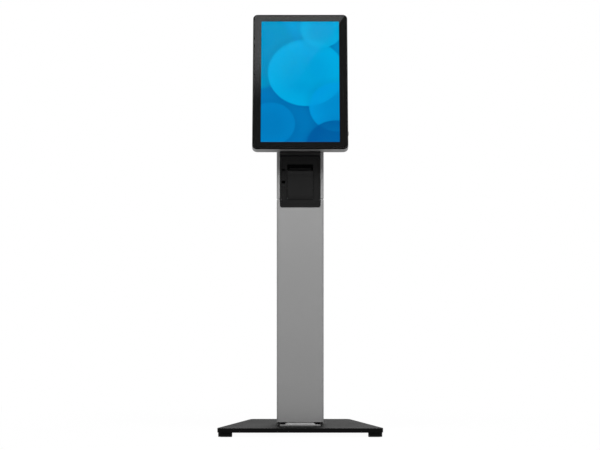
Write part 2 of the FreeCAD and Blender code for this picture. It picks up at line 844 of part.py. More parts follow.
def tilt_arm():
    """Steel plate screwed to the screen's back, with two ears that turn on the pivot shaft."""
    pivot_local = head_depth + pivot_standoff
    plate = block(-arm_half, arm_half, arm_face, arm_face + arm_thickness, arm_bottom, arm_top)
    plate = rounded(plate, 10.0, Y_AXIS)
    window_half = arm_ear_offset - 8.0
    window = block(-window_half, window_half, arm_face - 1, arm_face + arm_thickness + 1,
                   -vesa_pitch / 2 + 14, vesa_pitch / 2 - 14)
    plate = plate.cut(rounded(window, 8.0, Y_AXIS))
    ear = block(arm_ear_offset, arm_ear_outer, arm_face, pivot_local, -pivot_drop - ear_radius,
                -pivot_drop + ear_radius)
    ear = joined(ear, rod_x(ear_radius, arm_ear_offset, arm_ear_outer, pivot_local, -pivot_drop))
    arm = joined(plate, *both_sides(ear))
    arm = arm.cut(rod_x(shaft_radius + running_gap, -column_width, column_width, pivot_local, -pivot_drop))
    for hole in arm_screw_set(arm_screw_radius + slip_gap, 0):
        arm = arm.cut(hole)
    return on_head(arm)


def arm_screws():
    screws = []
    seat = arm_face + arm_thickness
    for x, z in arm_screw_places:
        shank = rod_y(arm_screw_radius, arm_face - arm_screw_depth, seat, x, z)
        cap = rod_y(arm_screw_cap_radius, seat, seat + arm_screw_cap_height, x, z)
        socket = rod_y(1.5, seat + arm_screw_cap_height / 2, seat + arm_screw_cap_height + 1, x, z)
        screws.append(on_head(joined(shank, cap).cut(socket)))
    return group(screws)


# Touchscreen, drawn upright about the middle of its face

def housing_form(inset, front, rear):
    """The silver housing's outer form drawn in by inset: a straight rim, then a taper to the back."""
    width = head_width - 2 * inset
    height = head_height - 2 * inset
    radius = head_corner_radius - inset
    rim_end = head_rim_depth if inset == 0 else head_rim_depth - inset / 2
    rim = panel(width, height, radius, front, rim_end)
    taper = Part.makeLoft([panel_wire(width, height, radius, rim_end),
                           panel_wire(width - 2 * head_back_inset, height - 2 * head_back_inset,
                                      radius + 8.0, rear)], True, True)
    form = joined(rim, taper)
    if inset:
        return form
    rim_edges = [edge for edge in form.Edges
                 if abs(edge.BoundBox.YMin - rim_end) < 1e-6 and abs(edge.BoundBox.YMax - rim_end) < 1e-6]
    return form.makeFillet(head_edge_round, rim_edges)


def panel_wire(width, height, radius, y):
    """Rounded rectangle at depth y, as four lines and four arcs."""
    half_w = width / 2
    half_h = height / 2
    edges = []
    corners = [(half_w - radius, half_h - radius, 0), (-half_w + radius, half_h - radius, 90),
               (-half_w + radius, -half_h + radius, 180), (half_w - radius, -half_h + radius, 270)]
    ends = []
    for x, z, start in corners:
        arc_points = [V(x + radius * math.cos(math.radians(start + step)), y,
                        z + radius * math.sin(math.radians(start + step))) for step in (0, 45, 90)]
        ends.append((arc_points[0], arc_points[2]))
        edges.append(Part.Arc(*arc_points).toShape())
    for index in range(4):
        edges.append(Part.LineSegment(ends[index][1], ends[(index + 1) % 4][0]).toShape())
    return Part.Wire(Part.__sortEdges__(edges))


housing_screw_x = head_width / 2 - 43.5
housing_screw_z = head_height / 2 - 57.5
housing_screw_radius = 1.5
housing_screw_head = 3.0
housing_screw_places = [(x, z) for x in (-housing_screw_x, housing_screw_x)
                        for z in (-housing_screw_z, 0.0, housing_screw_z)]
power_key_z = -head_height / 2 + 66.5
power_key_y = 18.0
power_key_length = 14.0
power_key_height = 5.0
power_key_travel = 1.0
rear_slot_count = 9
rear_slot_pitch = 9.0
rear_slot_length = 130.0
rear_slot_width = 3.5
rear_slot_drop = 130.0


def rear_housing():
    shell = housing_form(0, bezel_depth, head_depth)
    shell = shell.cut(housing_form(head_wall, bezel_depth - 1, head_depth - head_wall))
    for row in range(rear_slot_count):
        z = head_height / 2 - rear_slot_drop + row * rear_slot_pitch
        slot = block(-rear_slot_length / 2, rear_slot_length / 2, head_depth - head_wall - 1, head_depth + 1,
                     z, z + rear_slot_width)
        shell = shell.cut(rounded(slot, rear_slot_width / 2 - 0.01, Y_AXIS))
    for shank in arm_screw_set(arm_screw_radius, 10.0):
        shell = shell.cut(shank)
    for x, z in housing_screw_places:
        shell = shell.cut(rod_y(housing_screw_radius + slip_gap / 2, head_depth - 6, head_depth + 1, x, z))
        shell = shell.cut(rod_y(housing_screw_head + slip_gap, head_depth - 1.0, head_depth + 1, x, z))
    key_hole = block(head_width / 2 - head_wall - 1, head_width / 2 + 1,
                     power_key_y - power_key_height / 2 - seat_gap, power_key_y + power_key_height / 2 + seat_gap,
                     power_key_z - power_key_length / 2 - seat_gap, power_key_z + power_key_length / 2 + seat_gap)
    shell = shell.cut(key_hole)
    port_half = port_cover_width / 2 - 12
    port_hole = block(-port_half, port_half, head_depth - head_wall - 1, head_depth + 1,
                      -head_height / 2 + head_back_inset + 6, -head_height / 2 + port_cover_rise - 14)
    return on_head(shell.cut(port_hole))


def housing_screws():
    screws = []
    for x, z in housing_screw_places:
        cap = rod_y(housing_screw_head, head_depth - 1.0, head_depth + 0.2, x, z)
        shank = rod_y(housing_screw_radius, chassis_back + 1.0, head_depth - 1.0, x, z)
        socket = rod_y(1.0, head_depth - 0.6, head_depth + 1, x, z)
        screws.append(on_head(joined(cap, shank).cut(socket)))
    return group(screws)


glass_width = head_width - 2 * bezel_rim
glass_height = head_height - 2 * bezel_rim
glass_radius = head_corner_radius - bezel_rim
ledge_border = 11.5
glass_front = 0.2
glass_back = glass_front + glass_thickness
mask_back = glass_back + mask_thickness
module_back = mask_back + module_depth
chassis_back = module_back + chassis_thickness


def bezel_frame():
    frame = panel(head_width, head_height, head_corner_radius, 0, bezel_depth)
    frame = frame.makeFillet(1.2, [edge for edge in frame.Edges
                                   if edge.BoundBox.YMax < 1e-6])
    frame = frame.cut(panel(glass_width, glass_height, glass_radius, -1, glass_back))
    opening_w = head_width - 2 * ledge_border
    opening_h = head_height - 2 * ledge_border
    return on_head(frame.cut(panel(opening_w, opening_h, 4.0, 0, bezel_depth + 1)))


def cover_glass():
    gap = 2 * seat_gap
    pane = panel(glass_width - gap, glass_height - gap, glass_radius - seat_gap, glass_front, glass_back)
    pane = pane.makeChamfer(0.5, [edge for edge in pane.Edges if edge.BoundBox.YMax < glass_front + 1e-6])
    return on_head(pane)


def glass_border():
    """Black print on the back of the glass, round the picture."""
    outer_w = head_width - 2 * ledge_border - seat_gap
    outer_h = head_height - 2 * ledge_border - seat_gap
    ring = panel(outer_w, outer_h, 4.0, glass_back, mask_back)
    window = block(-screen_width / 2, screen_width / 2, glass_back - 1, mask_back + 1,
                   -screen_height / 2, screen_height / 2)
    return on_head(ring.cut(window))


def display_layer():
    return on_head(block(-screen_width / 2, screen_width / 2, glass_back, mask_back,
                         -screen_height / 2, screen_height / 2))


def display_module():
    body = panel(module_width, module_height, 2.0, mask_back, module_back)
    driver_board = block(-module_width / 2 + 12, module_width / 2 - 12, module_back - 1.6, module_back,
                         -module_height / 2 + 4, -module_height / 2 + 26)
    channel = block(-module_width / 2 + 10, module_width / 2 - 10, module_back - 3.0, module_back + 1,
                    -module_height / 2 + 3, -module_height / 2 + 28)
    board_seat = driver_board.translated(V(0, -1.4, 0))
    return on_head(body.cut(channel).fuse(board_seat).removeSplitter())


board_left = -70.0
board_width = 160.0
board_bottom = -92.0
board_height = 210.0
board_right = board_left + board_width
board_top = board_bottom + board_height
standoff_height = 5.0
standoff_radius = 3.0
post_radius = 4.0
arm_post_radius = 5.0
board_thickness = 1.6
board_peg_inset = 8.0
port_count = 5
port_pitch = 26.0
port_width = 18.0


def display_chassis():
    """Steel plate behind the display, with pegs for the main board and posts for the housing's screws."""
    plate = panel(module_width, module_height, 3.0, module_back, chassis_back)
    pegs = [rod_y(standoff_radius, module_back + 0.5, chassis_back + standoff_height, x, z)
            for x in (board_left + board_peg_inset, board_right - board_peg_inset)
            for z in (board_bottom + board_peg_inset, board_top - board_peg_inset)]
    post_end = head_depth - head_wall - seat_gap
    posts = []
    for x, z in housing_screw_places:
        hole = rod_y(housing_screw_radius, chassis_back + 1, post_end + 1, x, z)
        posts.append(rod_y(post_radius, module_back + 0.5, post_end, x, z).cut(hole))
    for x, z in arm_screw_places:
        hole = rod_y(arm_screw_radius, arm_face - arm_screw_depth, arm_face, x, z)
        posts.append(rod_y(arm_post_radius, module_back + 0.5, post_end, x, z).cut(hole))
    return on_head(joined(plate, *pegs, *posts))


def main_board():
    y0 = chassis_back + standoff_height
    board = block(board_left, board_right, y0, y0 + board_thickness, board_bottom, board_top)
    for post in arm_screw_set(arm_post_radius + fit_gap, head_depth):
        board = board.cut(post)
    face = y0 + board_thickness
    ports = []
    for index in range(port_count):
        left = board_left + 12 + port_pitch * index
        ports.append(block(left, left + port_width, face, face + 9, board_bottom, board_bottom + 14))
    memory = block(board_left + 34, board_right - 56, face, face + 4, board_top - 56, board_top - 26)
    return on_head(joined(board, memory, *ports))


sink_half = 30.0
sink_base = 3.0
sink_fin_height = 10.0
sink_fin_width = 1.5
sink_fin_pitch = 5.85
sink_fin_count = 11


def heat_sink():
    y0 = chassis_back + standoff_height + board_thickness
    base = block(-sink_half, sink_half, y0, y0 + sink_base, -sink_half, sink_half)
    fins = []
    for index in range(sink_fin_count):
        left = -sink_half + sink_fin_pitch * index
        fins.append(block(left, left + sink_fin_width, y0 + sink_base, y0 + sink_base + sink_fin_height,
                          -sink_half, sink_half))
    return on_head(joined(base, *fins))


speaker_x = head_width / 2 - 66.5
speaker_z = -head_height / 2 + 62.5
speaker_half = 16.0
speaker_height = 32.0
speaker_depth = 14.0
speaker_cone = 12.0


def speakers():
    """Two small speakers on the chassis, behind the lower edge."""
    solids = []
    for side in (-1, 1):
        box = block(side * speaker_x - speaker_half, side * speaker_x + speaker_half, chassis_back,
                    chassis_back + speaker_depth, speaker_z - 40, speaker_z - 40 + speaker_height)
        cone = rod_y(speaker_cone, chassis_back + speaker_depth - 1.5, chassis_back + speaker_depth + 1,
                     side * speaker_x, speaker_z - 40 + speaker_height / 2)
        solids.append(on_head(rounded(box, 3.0, Y_AXIS).cut(cone)))
    return group(solids)


def screen_power_key():
    outer = head_width / 2
    cap = block(outer - head_wall - 2.0, outer + power_key_travel + 0.4, power_key_y - power_key_height / 2,
                power_key_y + power_key_height / 2, power_key_z - power_key_length / 2,
                power_key_z + power_key_length / 2)
    return on_head(rounded(cap, 2.0, X_AXIS))


def port_cover():
    """Black cover that wraps from the screen's underside to its back, over the sockets."""
    under = -head_height / 2
    low = under - port_cover_drop
    back = head_depth + 4.6
    top = under + port_cover_rise
    rim = head_rim_depth
    taper_top = under + head_back_inset
    half = port_cover_width / 2
    outer = prism_x([(port_cover_start, under - 0.1), (port_cover_start, low + 1.5),
                     (port_cover_start + 1.5, low), (rim + 8.0, low), (back - 2.5, under + 6.0),
                     (back, taper_top - 4.0), (back, top - 2.0), (back - 2.0, top), (head_depth + 0.1, top),
                     (head_depth + 0.1, taper_top), (rim, under - 0.1)], -half, half)
    hollow = prism_x([(rim - 2.0, under), (rim + 6.0, low + port_cover_wall),
                      (back - 2.5 - port_cover_wall, under + 7.0), (back - port_cover_wall, taper_top - 3.0),
                      (back - port_cover_wall, top - port_cover_wall), (head_depth - 1.0, top - port_cover_wall),
                      (head_depth - 1.0, taper_top)], -half + port_cover_wall, half - port_cover_wall)
    return on_head(outer.cut(hollow))


# Receipt printer

def printer_surround():
    half = surround_width / 2
    front = surround_front
    hole_half = case_width / 2 + fit_gap
    rim = block(-half, half, front, front + surround_skirt, surround_bottom, surround_top)
    rim = rounded(rim, surround_corner, Y_AXIS, lambda point: point.z < surround_bottom + 1)
    hollow = block(-half + 2.0, half - 2.0, front + surround_thickness, front + surround_skirt + 1,
                   surround_bottom + 2.0, surround_top - 2.0)
    window = block(-hole_half, hole_half, front - 1, front + surround_skirt,
                   case_bottom - fit_gap, case_top + fit_gap)
    body = rim.cut(hollow).cut(window)
    groove = block(-half + 4, half - 4, front - 1, front + 0.8, surround_bottom + 10.0, surround_bottom + 11.2)
    return body.cut(groove)


lever_x = -case_width / 2 + lever_margin + lever_width / 2
lever_top = cover_top - lever_drop
lever_z0 = lever_top - lever_height
keys_x = lever_x
feed_key_z = lever_z0 - 21.0
power_key_level = feed_key_z - 15.0
lights_z = power_key_level - 12.0
light_pitch = 5.0
strip_rib_x = -cover_width / 2 - rib_cover_gap - strip_rib_width


def printer_case():
    """Outer case, open to the front at the paper cover, the slot, the lever and the keys."""
    half = case_width / 2
    case = block(-half, half, case_front, case_rear, case_bottom, case_top)
    case = rounded(case, 3.0, Y_AXIS)
    case = case.cut(block(-half + case_wall, half - case_wall, case_front + case_wall, case_rear - case_wall,
                          case_bottom + case_wall, case_top - case_wall))
    rib = block(strip_rib_x, strip_rib_x + strip_rib_width, case_front - 1.2, case_front + 1,
                cover_bottom + 2, cover_top - 18)
    case = joined(case, rounded(rib, 1.0, Z_AXIS, lambda point: point.y < case_front - 1))
    window_half = cover_width / 2 + 0.5
    case = case.cut(block(-window_half, window_half, case_front - 3, case_front + case_wall + 1,
                          cover_bottom - 0.8, slot_top))
    lever_half = lever_width / 2 + fit_gap
    case = case.cut(block(lever_x - lever_half, lever_x + lever_half, case_front - 1, case_front + case_wall + 2,
                          lever_z0 - lever_travel - fit_gap, lever_top + 5.6))
    for z in (feed_key_z, power_key_level):
        half_key = key_size / 2 + fit_gap
        case = case.cut(block(keys_x - half_key, keys_x + half_key, case_front - 1, case_front + case_wall + 1,
                              z - half_key, z + half_key))
    for side in (-1, 1):
        case = case.cut(rod_y(light_radius, case_front - 1, case_front + case_wall + 1,
                              keys_x + side * light_pitch / 2, lights_z))
    return case


def printer_cover():
    """Curved paper cover with two ears that carry the platen roller."""
    half = cover_width / 2
    face = case_front
    bulge = face - cover_bulge
    inner = cover_wall
    low = cover_bottom
    top = cover_top
    outline = [V(-half, face + 3.2, low), V(-half, face - 0.6, low), V(-half, bulge, low + 18.0),
               V(-half, bulge, top - 24.0), V(-half, face - 0.4, top - 3.0), V(-half, face + 5.6, top),
               V(-half, face + 5.6, top - inner), V(-half, face + 2.4, top - 3.0 - inner),
               V(-half, bulge + inner, top - 25.0), V(-half, bulge + inner, low + 19.0),
               V(-half, face + 3.2, low + 7.6)]
    lower_bend = V(-half, bulge + 0.9, low + 8.2)
    upper_bend = V(-half, bulge + 0.8, top - 11.0)
    lower_inner = V(-half, bulge + inner + 0.9, low + 12.0)
    upper_inner = V(-half, bulge + inner + 0.8, top - 13.6)
    edges = [Part.LineSegment(outline[0], outline[1]), Part.Arc(outline[1], lower_bend, outline[2]),
             Part.LineSegment(outline[2], outline[3]), Part.Arc(outline[3], upper_bend, outline[4]),
             Part.LineSegment(outline[4], outline[5]), Part.LineSegment(outline[5], outline[6]),
             Part.LineSegment(outline[6], outline[7]), Part.Arc(outline[7], upper_inner, outline[8]),
             Part.LineSegment(outline[8], outline[9]), Part.Arc(outline[9], lower_inner, outline[10]),
             Part.LineSegment(outline[10], outline[0])]
    wire = Part.Wire([edge.toShape() for edge in edges])
    curved = Part.Face(wire).extrude(V(cover_width, 0, 0))
    ear = prism_x([(bulge + 1.0, platen_z - 10), (bulge + 1.0, platen_z + 2), (platen_y, platen_z + 4.4),
                   (platen_y + 4.4, platen_z), (platen_y, platen_z - 4.4)],
                  platen_width / 2 + 0.6, platen_width / 2 + 2.2)
    body = joined(curved, *both_sides(ear))
    body = body.cut(rod_x(platen_shaft_radius + running_gap, -half - 1, half + 1, platen_y, platen_z))
    return body.cut(rod_x(cover_pin_radius + running_gap, -half - 1, half + 1, cover_hinge_y, cover_hinge_z))


def cover_pins():
    half = cover_width / 2
    pin = rod_x(cover_pin_radius, half - 8.0, half + 0.3, cover_hinge_y, cover_hinge_z)
    return group(both_sides(pin))


def side_frames():
    """Sheet-metal frames on both sides of the roll, which carry the cutter, the motor and the cover's pins."""
    y0 = case_front + case_wall + 0.5
    y1 = roll_y + roll_radius + 6.0
    z0 = case_bottom + case_wall
    plate = block(frame_x, frame_x + frame_thickness, y0, y1, z0, slot_top)
    right = plate.cut(rod_x(motor_shaft_radius + 1.0, frame_x - 1, motor_x0 + 1, pinion_y, pinion_z))
    return group([right, mirrored_x(plate)])


bucket_wall = 2.2
bucket_leg = 4.0
bucket_leg_spread = 22.0


def roll_bucket():
    """Cradle that the paper roll drops into."""
    half = frame_x
    inner_radius = roll_radius + seat_gap
    outer_radius = inner_radius + bucket_wall
    ring = rod_x(outer_radius, -half, half, roll_y, roll_z)
    ring = ring.cut(rod_x(inner_radius, -half - 1, half + 1, roll_y, roll_z))
    ring = ring.cut(block(-half - 1, half + 1, roll_y - 2 * roll_radius, roll_y + 2 * roll_radius,
                          roll_z - 8.0, roll_z + 2 * roll_radius))
    core = rod_x(outer_radius - bucket_wall / 4, -half - 1, half + 1, roll_y, roll_z)
    legs = [block(-half, half, roll_y + y - bucket_leg / 2, roll_y + y + bucket_leg / 2,
                  case_bottom + case_wall, roll_z).cut(core) for y in (-bucket_leg_spread, bucket_leg_spread)]
    return joined(ring, *legs)


def paper_roll():
    roll = rod_x(roll_radius, -roll_width / 2, roll_width / 2, roll_y, roll_z)
    return roll.cut(rod_x(core_radius, -roll_width, roll_width, roll_y, roll_z))


def roll_core():
    core = rod_x(core_radius, -roll_width / 2, roll_width / 2, roll_y, roll_z)
    return core.cut(rod_x(core_radius - core_wall, -roll_width, roll_width, roll_y, roll_z))


def platen_shaft():
    return rod_x(platen_shaft_radius, -platen_width / 2 - 3.6, gear_x + gear_width, platen_y, platen_z)


def platen_rubber():
    tube = rod_x(platen_radius, -platen_width / 2, platen_width / 2, platen_y, platen_z)
    return tube.cut(rod_x(platen_shaft_radius, -platen_width, platen_width, platen_y, platen_z))


def gear_solid(teeth, y, z, first_tooth, bore_radius):
    """A spur gear about the X axis with straight-sided teeth, one of them at the angle first_tooth."""
    pitch_radius = gear_module * teeth / 2
    tip_radius = pitch_radius + 0.8 * gear_module
    root_radius = pitch_radius - 1.15 * gear_module
    half_pitch_tooth = 0.4 * math.pi * gear_module / 2
    points = []
    for tooth in range(teeth):
        middle = first_tooth + 2 * math.pi * tooth / teeth
        for side, radius in ((-1, root_radius), (-1, tip_radius), (1, tip_radius), (1, root_radius)):
            half_tooth = half_pitch_tooth - (radius - pitch_radius) * math.tan(math.radians(20))
            angle = middle + side * half_tooth / radius
            points.append((y + radius * math.cos(angle), z + radius * math.sin(angle)))
    wheel = prism_x(points, gear_x, gear_x + gear_width)
    return wheel.cut(rod_x(bore_radius, gear_x - 1, gear_x + gear_width + 1, y, z))


mesh_angle = math.atan2(pinion_z - platen_z, pinion_y - platen_y)
motor_shaft_radius = 1.0


def platen_gear():
    return gear_solid(platen_teeth, platen_y, platen_z, mesh_angle, platen_shaft_radius)


def motor_pinion():
    pinion = gear_solid(pinion_teeth, pinion_y, pinion_z, mesh_angle + math.pi + math.pi / pinion_teeth,
                        motor_shaft_radius * 0.9)
    shaft = rod_x(motor_shaft_radius, gear_x, motor_x0 + 3.0, pinion_y, pinion_z)
    return joined(pinion, shaft)


motor_x0 = frame_x + frame_thickness
motor_length = 10.0


def feed_motor():
    can = rod_x(motor_radius, motor_x0, motor_x0 + motor_length, pinion_y, pinion_z)
    return can.cut(rod_x(motor_shaft_radius + running_gap, motor_x0 - 1, motor_x0 + 3.5, pinion_y, pinion_z))


cutter_front = case_front + 8.0


def cutter_frame():
    """Block that fills the recess above the paper slot and holds the blade."""
    rear = cutter_front + 26.0
    lip = cutter_bottom + 4.0
    step = cutter_front + 1.6
    return prism_x([(step, cutter_bottom), (step, lip), (cutter_front, lip), (cutter_front, cutter_top),
                    (rear, cutter_top), (rear, cutter_bottom)], -frame_x, frame_x)


def cutter_blade():
    half = cover_width / 2 - 3.0
    blade = prism_x([(cutter_front - 0.6, cutter_bottom + 2.4), (cutter_front + 1.6, cutter_bottom + 1.4),
                     (cutter_front + 1.6, cutter_bottom + 3.6), (cutter_front - 0.6, cutter_bottom + 2.8)],
                    -half, half)
    return blade


def print_head():
    """Thermal head on its heat plate, just behind the platen and hung from the cutter frame."""
    front = platen_y + platen_radius + slip_gap
    half = platen_width / 2
    plate = block(-half, half, front, front + 3.0, platen_z - 11.0, cutter_bottom)
    fins = [block(-half + 6 + 12 * index, -half + 8 + 12 * index, front + 3.0, front + 8.0, platen_z - 6.0,
                  cutter_bottom) for index in range(6)]
    return joined(plate, *fins)


def cover_lever():
    """Sliding lever at the left of the cover: the finger plate, and the tongue that runs inside the case."""
    half = lever_width / 2
    front = case_front - 1.0
    plate = block(lever_x - half, lever_x + half, front, case_front + case_wall + 1.4, lever_z0, lever_top)
    plate = rounded(plate, 1.2, Z_AXIS, lambda point: point.y < case_front)
    grooves = [block(lever_x - half + 2, lever_x + half - 2, front - 1, front + 0.6, z, z + 1.2)
               for z in (lever_z0 + 13.0, lever_z0 + 16.2, lever_z0 + 19.4)]
    tongue = block(lever_x - 3, lever_x + 3, case_front + case_wall, case_front + 16.0, lever_z0 + 8,
                   lever_top - 8)
    body = joined(plate, tongue)
    for groove in grooves:
        body = body.cut(groove)
    return body


def key_cap(z):
    half = key_size / 2
    cap = block(keys_x - half, keys_x + half, case_front - 0.4, case_front + 5.0, z - half, z + half)
    return rounded(cap, 1.4, Y_AXIS)


def status_lights():
    return group([rod_y(light_radius, case_front - 0.2, case_front + 4.0, keys_x + side * light_pitch / 2, lights_z)
                  for side in (-1, 1)])


def key_board():
    """Small board behind the keys and the lights, on two posts from the case's side wall."""
    y0 = case_front + 5.0 + key_travel + 0.6
    x0 = -case_width / 2 + case_wall
    return block(x0, -frame_x - frame_thickness - 0.6, y0, y0 + 1.6, lights_z - 6.0, feed_key_z + 7.0)


def printer_board():
    y1 = case_rear - case_wall
    half = case_width / 2 - 12.5
    board = block(-half, half, y1 - 6.0, y1 - 4.4, case_bottom + 20.0, case_top - 16.0)
    posts = [rod_y(3.0, y1 - 5.0, y1, x, z) for x in (6 - half, half - 6)
             for z in (case_bottom + 26.0, case_top - 22.0)]
    chips = [block(-30, -8, y1 - 8.5, y1 - 6.0, case_bottom + 60, case_bottom + 82),
             block(8, 20, y1 - 14.0, y1 - 6.0, case_bottom + 92, case_bottom + 116)]
    return joined(board, *posts, *chips)


PIECES = {
    "base_plate": base_plate(),
    "rubber_feet": group([foot(place) for place in foot_centres]),
    "foot_screws": foot_screws(),
    "column_foot": column_foot(),
    "column_bolts": column_bolts(),
    "column_body": column_body(),
    "upper_shell": upper_shell(),
    "sheet_screws": group(shell_screw_set(0) + foot_side_screws(0) + bracket_screw_set(0)),
    "printer_tray": printer_tray(),
    "top_cap": top_cap(),
    "cable_guard": cable_guard(),
    "cable_grommet": cable_grommet(),
    "adapter_shelf": adapter_shelf(),
    "power_adapter": power_adapter(),
    "adapter_strap": adapter_strap(),
    "rear_door": rear_door(),
    "column_hinge_leaves": column_hinge_leaves(),
    "door_hinge_leaves": door_hinge_leaves(),
    "hinge_pins": hinge_pins(),
    "door_lock": door_lock(),
    "column_bracket": column_bracket(),
    "pivot_shaft": pivot_shaft(),
    "pivot_nuts": pivot_nuts(),
    "friction_washers": friction_washers(),
    "tilt_arm": tilt_arm(),
    "arm_screws": arm_screws(),
    "rear_housing": rear_housing(),
    "housing_screws": housing_screws(),
    "bezel_frame": bezel_frame(),
    "cover_glass": cover_glass(),
    "glass_border": glass_border(),
    "display_layer": display_layer(),
    "display_module": display_module(),
    "display_chassis": display_chassis(),
    "main_board": main_board(),
    "heat_sink": heat_sink(),
    "speakers": speakers(),
    "screen_power_key": screen_power_key(),
    "port_cover": port_cover(),
    "printer_surround": printer_surround(),
    "printer_case": printer_case(),
    "side_frames": side_frames(),
    "roll_bucket": roll_bucket(),
    "paper_roll": paper_roll(),
    "roll_core": roll_core(),
    "printer_cover": printer_cover(),
    "cover_pins": cover_pins(),
    "platen_shaft": platen_shaft(),
    "platen_rubber": platen_rubber(),
    "platen_gear": platen_gear(),
    "motor_pinion": motor_pinion(),
    "feed_motor": feed_motor(),
    "cutter_frame": cutter_frame(),
    "cutter_blade": cutter_blade(),
    "print_head": print_head(),
    "cover_lever": cover_lever(),
    "feed_key": key_cap(feed_key_z),
    "power_key": key_cap(power_key_level),
    "status_lights": status_lights(),
    "printer_boards": group([key_board(), printer_board()]),
}

os.makedirs("parts", exist_ok=True)
for name, shape in PIECES.items():
    if not shape.isValid():
        print("not valid:", name)
    shape.exportStep("parts/" + name + ".step")
print(len(PIECES), "pieces, pivot at", round(pivot.y, 2), round(pivot.z, 2))
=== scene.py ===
import json
import math

import bmesh
import bpy
from mathutils import Matrix, Vector

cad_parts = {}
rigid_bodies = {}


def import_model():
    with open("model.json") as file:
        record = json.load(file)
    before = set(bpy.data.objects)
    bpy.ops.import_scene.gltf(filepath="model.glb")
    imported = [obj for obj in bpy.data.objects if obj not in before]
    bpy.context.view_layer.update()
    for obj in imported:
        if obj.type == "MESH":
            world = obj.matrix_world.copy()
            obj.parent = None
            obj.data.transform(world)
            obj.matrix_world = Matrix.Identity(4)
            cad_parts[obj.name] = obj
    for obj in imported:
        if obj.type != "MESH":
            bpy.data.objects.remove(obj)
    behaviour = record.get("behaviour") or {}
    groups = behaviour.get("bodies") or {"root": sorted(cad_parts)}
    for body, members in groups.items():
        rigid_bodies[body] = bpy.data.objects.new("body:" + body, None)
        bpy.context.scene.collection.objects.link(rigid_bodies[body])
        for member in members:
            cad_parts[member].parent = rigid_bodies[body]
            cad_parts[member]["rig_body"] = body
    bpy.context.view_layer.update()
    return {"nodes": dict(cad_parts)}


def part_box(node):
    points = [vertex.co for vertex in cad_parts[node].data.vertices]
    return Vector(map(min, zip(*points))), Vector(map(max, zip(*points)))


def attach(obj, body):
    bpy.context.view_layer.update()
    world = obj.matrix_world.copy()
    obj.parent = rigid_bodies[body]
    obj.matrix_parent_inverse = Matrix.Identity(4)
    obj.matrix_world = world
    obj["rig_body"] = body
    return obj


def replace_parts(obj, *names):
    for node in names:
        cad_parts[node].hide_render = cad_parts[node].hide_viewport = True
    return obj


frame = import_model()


# Camera
# A long lens level with the middle of the stand, as the photograph was framed. The stand fills nearly the
# whole height of the picture.

picture_width = 600
picture_height = 450
focal_pixels = 2735
sensor_width = 36.0
camera = bpy.data.objects.new("camera", bpy.data.cameras.new("camera"))
camera.data.sensor_width = sensor_width
camera.data.lens = focal_pixels / picture_width * sensor_width
camera.location = (-0.0007, -9.425, 0.7135)
camera.rotation_euler = (math.radians(90), 0, 0)
camera.data.clip_end = 100
bpy.context.scene.collection.objects.link(camera)
bpy.context.scene.camera = camera
bpy.context.scene.view_settings.view_transform = "Standard"


# Studio
# A white floor and backdrop, a dim room in front, soft lamps high in front and one behind, and a small card
# above the screen whose mirror image lies across the top and the upper left of the black border. The
# floor is plain white but for a faint shade close to the stand.


class Link:
    """One socket of a shader's nodes. Arithmetic on it adds Math nodes."""

    def __init__(self, socket):
        self.socket = socket

    def node(self, kind, settings, sockets, output=0):
        """Adds a node of that type beside this one and gives one of its outputs."""
        made = self.socket.id_data.nodes.new(kind)
        for name, value in settings.items():
            setattr(made, name, value)
        for name, value in sockets.items():
            join(made.inputs[name], value)
        return Link(made.outputs[output])

    def math(self, operation, first, second):
        return self.node("ShaderNodeMath", {"operation": operation}, {0: first, 1: second})

    def __add__(self, other):
        return self.math("ADD", self, other)

    def __radd__(self, other):
        return self.math("ADD", other, self)

    def __sub__(self, other):
        return self.math("SUBTRACT", self, other)

    def __rsub__(self, other):
        return self.math("SUBTRACT", other, self)

    def __mul__(self, other):
        return self.math("MULTIPLY", self, other)

    def __rmul__(self, other):
        return self.math("MULTIPLY", other, self)

    def ease(self, low, high):
        """0 below low, 1 above high, and smooth between them."""
        return self.node("ShaderNodeMapRange", {"interpolation_type": "SMOOTHSTEP"},
                         {"Value": self, "From Min": low, "From Max": high})

    def parts(self):
        """The three coordinates of a vector."""
        split = self.node("ShaderNodeSeparateXYZ", {}, {0: self}).socket.node
        return [Link(output) for output in split.outputs]

    def blend(self, low_colour, high_colour):
        """The first colour where this is 0 and the second where it is 1."""
        return self.node("ShaderNodeMix", {"data_type": "RGBA"},
                         {0: self, 6: low_colour, 7: high_colour}, output=2)

    def ray(self, kind):
        """1 for rays of that kind and 0 for all others."""
        return Link(self.node("ShaderNodeLightPath", {}, {}).socket.node.outputs[kind])


def join(socket, value):
    """Links a socket, or sets it to a number or colour."""
    if isinstance(value, Link):
        socket.id_data.links.new(value.socket, socket)
    elif hasattr(value, "__len__") and len(value) == 3 and socket.type == "RGBA":
        socket.default_value = (*value, 1.0)
    else:
        socket.default_value = value


room_grey = 0.28
ambient_grey = 0.16
backdrop_sides = (0.05, 0.4)
backdrop_top = (0.35, 0.6)
world = bpy.data.worlds.new("studio")
world.use_nodes = True
bpy.context.scene.world = world
world.node_tree.nodes.clear()
world_end = world.node_tree.nodes.new("ShaderNodeOutputWorld")
sky = Link(world.node_tree.nodes.new("ShaderNodeTexCoord").outputs["Generated"])
sky_y, sky_z = sky.parts()[1:]
backdrop = sky_y.ease(*backdrop_sides) * (1 - sky_z.ease(*backdrop_top))
seen = sky.ray("Is Camera Ray")
mirrored = sky.math("MAXIMUM", sky.ray("Is Glossy Ray"), sky.ray("Is Transmission Ray"))
level = ambient_grey + mirrored * (room_grey - ambient_grey + backdrop * (1 - room_grey))
strength = seen + (1 - seen) * level
light = sky.node("ShaderNodeBackground", {}, {"Color": (1.0, 1.0, 1.0), "Strength": strength})
join(world_end.inputs["Surface"], light)


